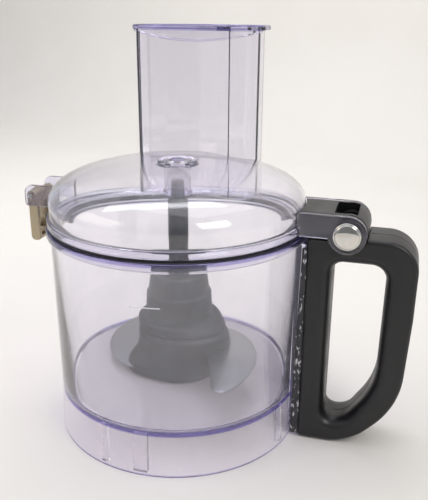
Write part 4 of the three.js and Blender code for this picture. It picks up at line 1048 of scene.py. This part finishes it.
def handle_rail(name, side):
    """A flap along one side of the bowl's plate, set back from the handle's face, that narrows
    upwards as the bowl's wall leans out."""
    foot, top = HANDLE_FOOT + 2, BEAD_FOOT - 2
    outline = rounded(
        [
            (FOOT_RADIUS - 0.6, foot, 1),
            (HANDLE_FACE + 0.5, foot, 0.3),
            (HANDLE_FACE + 0.5, top, 0.3),
            (FOOT_RADIUS + 2.4, top, 1),
        ],
        4,
    )
    low, high = sorted((side * (PLATE_HALF + 0.2), side * (HALF_HANDLE - 0.8)))
    rail = slab(name, outline, edged(low, high, 0.4), across="Y")
    return finish_piece(rail, SCUFFED, "bowl", None)


SCREW_NODES = ("handle_screw_lower", "handle_screw_grip", "handle_screw_upper")


def screw_centre(cad_node):
    """Where a screw's axis passes, as (x, z)."""
    low, high = corners_of(cad_node)
    return ((low[0] + high[0]) / 2 - AXIS_X, (low[2] + high[2]) / 2)


SCREWS = {cad_node: screw_centre(cad_node) for cad_node in SCREW_NODES}


def handle_screw(cad_node):
    """A pan-head screw across Y with a cross recess."""
    low, high = corners_of(cad_node)
    at, face = SCREWS[cad_node], high[1]
    shank, head, seat = 1.6, 3.1, face - 2.2
    point = [(0, low[1] + 1, 0), (shank, low[1] + 2.5, 0), (shank, seat, 0.2)]
    profile = rounded(point + [(head, seat, 0.2), (head, face, 1.1), (0, face, 0)], 5)
    screw = turned(cad_node + "_turned", profile, 40, at, "Y")
    slots = []
    for wide, tall in ((3.4, 0.8), (0.8, 3.4)):
        outline = np.array([(-wide, -tall), (wide, -tall), (wide, tall), (-wide, tall)]) / 2 + at
        slots.append(slab("slot", outline, [(0, face - 1.3), (0, face + 1)], across="Y"))
    combine(screw, "DIFFERENCE", *slots)
    return finish_piece(screw, PLAIN_STEEL, "bowl", "steel", cad_node)


# ---- hinge ----


def hinge_block():
    """The black block between the lid's arms: a block and a barrel joined, cut to the lid's round
    side and rim, and hollowed for the handle's lugs by a pocket, a disc and the sector that the
    lugs sweep as the lid opens."""
    low, high = -HALF_HANDLE, HALF_HANDLE
    foot, top = LID_UNDER + 0.3, PIVOT_Z + 14
    inside = SIDE_RADIUS - 8
    outline = np.array([(inside, foot), (PIVOT_X, foot), (PIVOT_X, top), (inside, top)])
    block = slab("hinge_block_moulded", outline, edged(low, high, 1.1), across="Y")
    barrel = slab("barrel", circle(PIVOT, BARREL_RADIUS, 120), edged(low, high, 1.1), across="Y")
    combine(block, "UNION", barrel)
    level = LID_UNDER + 6.5
    lid_side = pillar(SIDE_RADIUS + 0.6, level, PIVOT_Z + 40, steps=256)
    lid_rim = pillar(RIM_RADIUS + 0.6, 0, level + 0.01, steps=256)
    near, far = (PIVOT_X - 10.6, -POCKET_HALF, PIVOT_Z), (PIVOT_X + 5.7, POCKET_HALF, PIVOT_Z + 30)
    pocket = box("pocket", near, far, 1.5)
    room = pin_hole(LUG_RADIUS + 0.6, -POCKET_HALF, POCKET_HALF, PIVOT, 64)
    turn = np.radians(np.linspace(-166, -11, 24))
    arc = PIVOT + (BARREL_RADIUS + 4) * np.column_stack([np.cos(turn), np.sin(turn)])
    sector = np.vstack([[PIVOT], arc])
    sweep = slab("sweep", sector, [(0, -POCKET_HALF), (0, POCKET_HALF)], across="Y")
    hole = pin_hole(HINGE_BORE, low - 1, high + 1, PIVOT)
    combine(block, "DIFFERENCE", lid_side, lid_rim, pocket, room, sweep, hole)
    return finish_piece(block, BLACK, "lid", "handle_plastic", "hinge_block", angle=28)


def hinge_cap(name, side, cad_node):
    """A domed cap: a rounded edge, a narrow flat and then a shallow dome, turned about Y."""
    low, high = corners_of(cad_node)
    seat, crown = (high[1], low[1]) if side < 0 else (low[1], high[1])
    rise = abs(crown - seat)
    turn = np.linspace(math.pi / 2, 0, 14)
    dome_points = [(8.9 * math.sin(t), rise * 0.5 + rise * 0.5 * math.cos(t)) for t in turn]
    edge = [(0, 0), (9.6, 0), (10, 0.4), (10, rise * 0.32), (9.75, rise * 0.43), (9.3, rise * 0.48)]
    profile = np.array([(r, seat + side * h) for r, h in edge + dome_points])
    cap = turned(name, profile, 96, PIVOT, "Y")
    return finish_piece(cap, CHROME, "lid", "cap_chrome", cad_node, angle=40)


def steel_pin(name, low, high, radius, edge, centre, steps, cad_node):
    """A straight pin across Y with rounded ends: half its section turned about its axis."""
    half = rounded([(0, low, 0), (radius, low, edge), (radius, high, edge), (0, high, 0)], 3)
    return finish_piece(turned(name, half, steps, centre, "Y"), PLAIN_STEEL, "lid", "steel", cad_node)


# ---- latch ----


def latch_lever():
    """A pressed lever: a barrel round the pin, two side flanges, a face sheet with a curled foot,
    and a hook across its inside."""
    half = LEVER_HIGH[1]
    outside = LEVER_LOW[0] - AXIS_X
    inside = outside + 8.6
    foot = LEVER_LOW[2]
    metal = 2.0
    corners = [(outside, foot, 3.4), (inside, foot, 3.4), (inside, LATCH_Z, 0), (outside, LATCH_Z, 0)]
    outline = rounded(corners, 8)
    lever = slab("latch_lever_pressed", outline, edged(-half, half, 0.9), across="Y")
    barrel = slab("barrel", circle(LATCH, 4, 48), edged(-half, half, 0.7), across="Y")
    combine(lever, "UNION", barrel)
    near, far = (outside + metal * 2, metal - half, foot + 4), (inside + 5, half - metal, LATCH_Z - 6)
    hollow = box("hollow", near, far, 0.8)
    combine(lever, "DIFFERENCE", hollow)
    hook_top = CATCH_FOOT - 2.2
    hook = box("hook", (outside + 1, -8, hook_top - 2.4), (-CATCH_REACH - 2.1, 8, hook_top), 0.7)
    combine(lever, "UNION", hook)
    combine(lever, "DIFFERENCE", pin_hole(LATCH_BORE, -half - 1, half + 1, LATCH, 32))
    return finish_piece(lever, NICKEL, "latch", "satin_nickel", "latch_lever", angle=35)


# ---- blade assembly ----


def blade_hub():
    """The hub as rings whose radius is a stepped profile plus two smooth lobes that carry the
    blades. A lobe adds reach * exp(-(turn / width) ** 2) * window, where window fades in and out
    over its height and its middle drifts round as it climbs."""
    foot, top = HUB_LOW[2], HUB_HIGH[2]
    waist = foot + 48
    bore = 21.1
    profile = rounded(
        [
            (36.4, foot, 1.8),
            (34.4, waist - 30, 16),
            (33.6, waist - 13.5, 1.6),
            (31.2, waist - 11, 1.0),
            (31.4, waist - 9.8, 0.8),
            (33.8, waist - 7.5, 2.0),
            (33.6, waist - 2.5, 2.2),
            (31, waist - 0.4, 1.2),
            (27.2, waist, 1),
            (26.4, waist + 19, 1.5),
            (24.6, waist + 21, 1.5),
            (23.6, waist + 30, 3),
            (22.6, top, 2.4),
            (8, top, 0.4),
            (8, INSERT_HIGH[2] + 0.3, 0.2),
            (12.3, INSERT_HIGH[2] + 0.3, 0.2),
            (12.3, INSERT_LOW[2], 0.2),
            (16.2, INSERT_LOW[2], 0.4),
            (bore, foot, 0.5),
        ],
        5,
    )
    profile = even(profile, 420)
    angle = np.arange(192) * TURN / 192
    radius, height = profile[:, 0][:, None], profile[:, 1][:, None]
    swell = np.zeros((len(profile), len(angle)))
    upper_lobe, lower_lobe = (-4, -1.0, 68, 15, 0.62, 9.5), (213, -0.3, 44, 9.5, 0.42, 9.2)
    for middle, drift, level, half, width, reach in (upper_lobe, lower_lobe):
        centre = np.radians(middle + drift * (height - level))
        away = (angle - centre + math.pi) % TURN - math.pi
        window = 1 / (1 + np.exp((np.abs(height - level) - half) / 2.6))
        swell += reach * np.exp(-((away / width) ** 2)) * window
    outer = (radius > 26) & (height < waist - 1)
    radius = radius + swell * outer
    height = np.broadcast_to(height, radius.shape)
    points = np.stack([radius * np.cos(angle), radius * np.sin(angle), height], axis=-1)
    hub = grid("blade_hub_moulded", points)
    return finish_piece(hub, CHARCOAL, "blade", "hub_plastic", "blade_hub", angle=50)


def drive_insert():
    """A disc with rounded edges and a six-sided socket through it."""
    low, high = INSERT_LOW[2], INSERT_HIGH[2]
    ring = slab("drive_insert_socket", circle((0, 0), 12, 64), edged(low, high, 0.4))
    socket = pillar(5.2, low - 1, high + 1, steps=6)
    combine(ring, "DIFFERENCE", socket)
    return finish_piece(ring, PLAIN_STEEL, "blade", "steel", "drive_insert")


def drive_stem():
    """A post turned about the axis: a spigot, a flared foot, a straight shaft and a thinner tip."""
    foot, top = STEM_LOW[2], STEM_HIGH[2]
    shoulder = BOSS_FOOT - 5
    profile = rounded(
        [
            (0, foot, 0),
            (7.7, foot, 0.2),
            (7.7, foot + 1.3, 0),
            (12, foot + 1.3, 0.8),
            (12, foot + 4.3, 1),
            (8.8, foot + 7.3, 3),
            (7.8, foot + 11.3, 6),
            (7.8, shoulder, 1),
            (5.2, shoulder + 4, 1),
            (4.8, top - 0.6, 0),
            (4.2, top, 0.4),
            (0, top, 0),
        ],
        5,
    )
    post = turned("drive_stem_post", profile, 96)
    return finish_piece(post, STEM_DARK, "blade", "hub_plastic", "drive_stem")


def blade(name, low, high, turn, cad_node):
    """A sickle blade seen from above. Its outer edge winds from tip to heel as
    heel + (tip - heel) * (1 - share) ** 0.9 over the angle, its inner edge and its tip are
    quadratic curves, and its back is an arc inside the hub. The edges are ground to a bevel."""
    tip, heel, root = 88.0, 41.0, 25.0
    heel_angle, sweep = 47.0, 100.0
    tip_angle = heel_angle - sweep
    root_angle = tip_angle + 32

    def at(radius, angle):
        """Points at these radii and degrees from the axis."""
        angle = np.radians(np.asarray(angle, float) + turn)
        return np.column_stack([radius * np.cos(angle), radius * np.sin(angle)])

    def bend(start, middle, end, steps):
        """A quadratic curve from start to end, drawn towards middle."""
        t = np.linspace(0, 1, steps)[:, None]
        return (1 - t) ** 2 * start + 2 * t * (1 - t) * middle + t**2 * end

    start, hollow = at(root, [root_angle]), at(tip * 0.58, [tip_angle + 10])
    tip_start = at(tip - 9, [tip_angle - 2])
    tip_corner, tip_end = at(tip, [tip_angle - 2]), at(tip, [tip_angle + 3])
    share = np.linspace(0, 1, 60)[1:]
    edge = at(heel + (tip - heel) * (1 - share) ** 0.9, tip_angle + 3 + (sweep - 3) * share)
    back = at(np.full(20, root), np.linspace(heel_angle, root_angle, 20))
    inner_edge, point = bend(start, hollow, tip_start, 30), bend(tip_start, tip_corner, tip_end, 12)
    outline = even(np.vstack([inner_edge, point[1:], edge, back[:-1]]), 300)
    middle = (low[2] + high[2]) / 2
    ground = [(0.5, low[2]), (0, middle - 0.15), (0, middle + 0.1), (2.6, high[2])]
    steel = slab(name, outline, ground)
    return finish_piece(steel, BLADE_STEEL, "blade", "blade_steel", cad_node, angle=20)


# ---- all the pieces ----

work_bowl()
fill_mark()
lid_cover()
lid_gasket()
feed_tube()
handle_shell("handle_front_moulded", -1, "handle_front_shell")
handle_shell("handle_rear_moulded", 1, "handle_rear_shell")
handle_rail("handle_rail_front", -1)
handle_rail("handle_rail_rear", 1)
for cad_node in SCREW_NODES:
    handle_screw(cad_node)
hinge_block()
hinge_cap("hinge_cap_front_domed", -1, "hinge_cap_front")
hinge_cap("hinge_cap_rear_domed", 1, "hinge_cap_rear")
steel_pin("hinge_pin_turned", PIN_LOW[1], PIN_HIGH[1], 4, 0.5, PIVOT, 48, "hinge_pin")
latch_lever()
steel_pin("latch_pin_turned", LATCH_PIN_LOW[1], LATCH_PIN_HIGH[1], 1.6, 0.4, LATCH, 32, "latch_pin")
blade_hub()
drive_insert()
drive_stem()
blade("blade_upper_ground", UPPER_LOW, UPPER_HIGH, 0, "blade_upper")
blade("blade_lower_ground", LOWER_LOW, LOWER_HIGH, 180, "blade_lower")

# The rod is inside the handle and the spring is already a wound wire, so both keep their CAD shape.
for cad_node, material in (("interlock_rod", NYLON), ("interlock_spring", SPRING_STEEL)):
    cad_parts[cad_node].data.materials.clear()
    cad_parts[cad_node].data.materials.append(material)


# ---- floor, light and what surrounds the object ----


def floor_sweep():
    """A floor that curves up into a backdrop: a profile of floor, quarter round and wall, carried
    sideways, turned to face the camera."""
    back, bend, height, front, half = 900.0, 300.0, 1500.0, -1400.0, 2200.0
    turn = np.linspace(0, math.pi / 2, 16)
    curve = [(back + bend * math.sin(t), bend * (1 - math.cos(t))) for t in turn]
    line = np.array([(front, 0.0), *curve, (back + bend, height)])
    across = np.array([-half, half])
    facing = math.radians(-15.6)
    cos, sin = math.cos(facing), math.sin(facing)
    x, y, z = np.broadcast_arrays(across, line[:, :1], line[:, 1:])
    points = np.stack([x * cos - y * sin, x * sin + y * cos, z], axis=-1)
    sweep = grid("floor_sweep", points, wrap_rows=False, wrap_columns=False)
    sweep.data.shade_smooth()
    sweep.data.materials.append(PALE_BOARD)


def softbox(name, place, target, size, power, tint):
    """A rectangular area light at place that faces target."""
    light = bpy.data.lights.new(name, "AREA")
    light.shape = "RECTANGLE"
    light.size, light.size_y = (s * MM for s in size)
    light.energy = power
    light.color = colour(tint)[:3]
    holder = bpy.data.objects.new(name, light)
    bpy.context.scene.collection.objects.link(holder)
    place, target = Vector(place) * MM, Vector(target) * MM
    facing = (target - place).to_track_quat("-Z", "Y").to_matrix().to_4x4()
    holder.matrix_world = Matrix.Translation(place) @ facing


def surroundings():
    """A pale room whose side behind the camera is darker where it is reflected, so that bright
    metal and clear walls have something to show."""
    world = bpy.data.worlds.new("pale_room")
    bpy.context.scene.world = world
    world.use_nodes = True
    tree = world.node_tree
    direction = node(tree, "TexCoord", out="Generated")
    forward = node(tree, "SeparateXYZ", [direction], "Y")
    lit = node(tree, "MapRange", [forward, -0.95, -0.5, 0.25, 0.7])
    seen = node(tree, "LightPath", out="Is Camera Ray")
    seen = node(tree, "Math", [seen, 0.7], operation="MULTIPLY")
    strength = node(tree, "Math", [lit, seen], operation="MAXIMUM")
    feed(tree, tree.nodes["Background"], {"Color": "#EBEEF4", "Strength": strength})


floor_sweep()
surroundings()
softbox("key", (900, -700, 1100), (0, 0, 120), (600, 600), 6.5, "#FFFDFA")
softbox("fill", (-900, -600, 700), (0, 0, 120), (800, 600), 2.0, "#FFF4E6")
softbox("wall_wash", (-350, 250, 1250), (-800, 1150, 350), (1100, 600), 8.5, "#FAFAFF")
softbox("top", (100, 250, 1300), (0, 0, 150), (900, 900), 2, "#FFFFFF")

cycles = bpy.context.scene.cycles
cycles.max_bounces = 24
cycles.transmission_bounces = 24
cycles.transparent_max_bounces = 32
bpy.context.scene.view_settings.view_transform = "Standard"
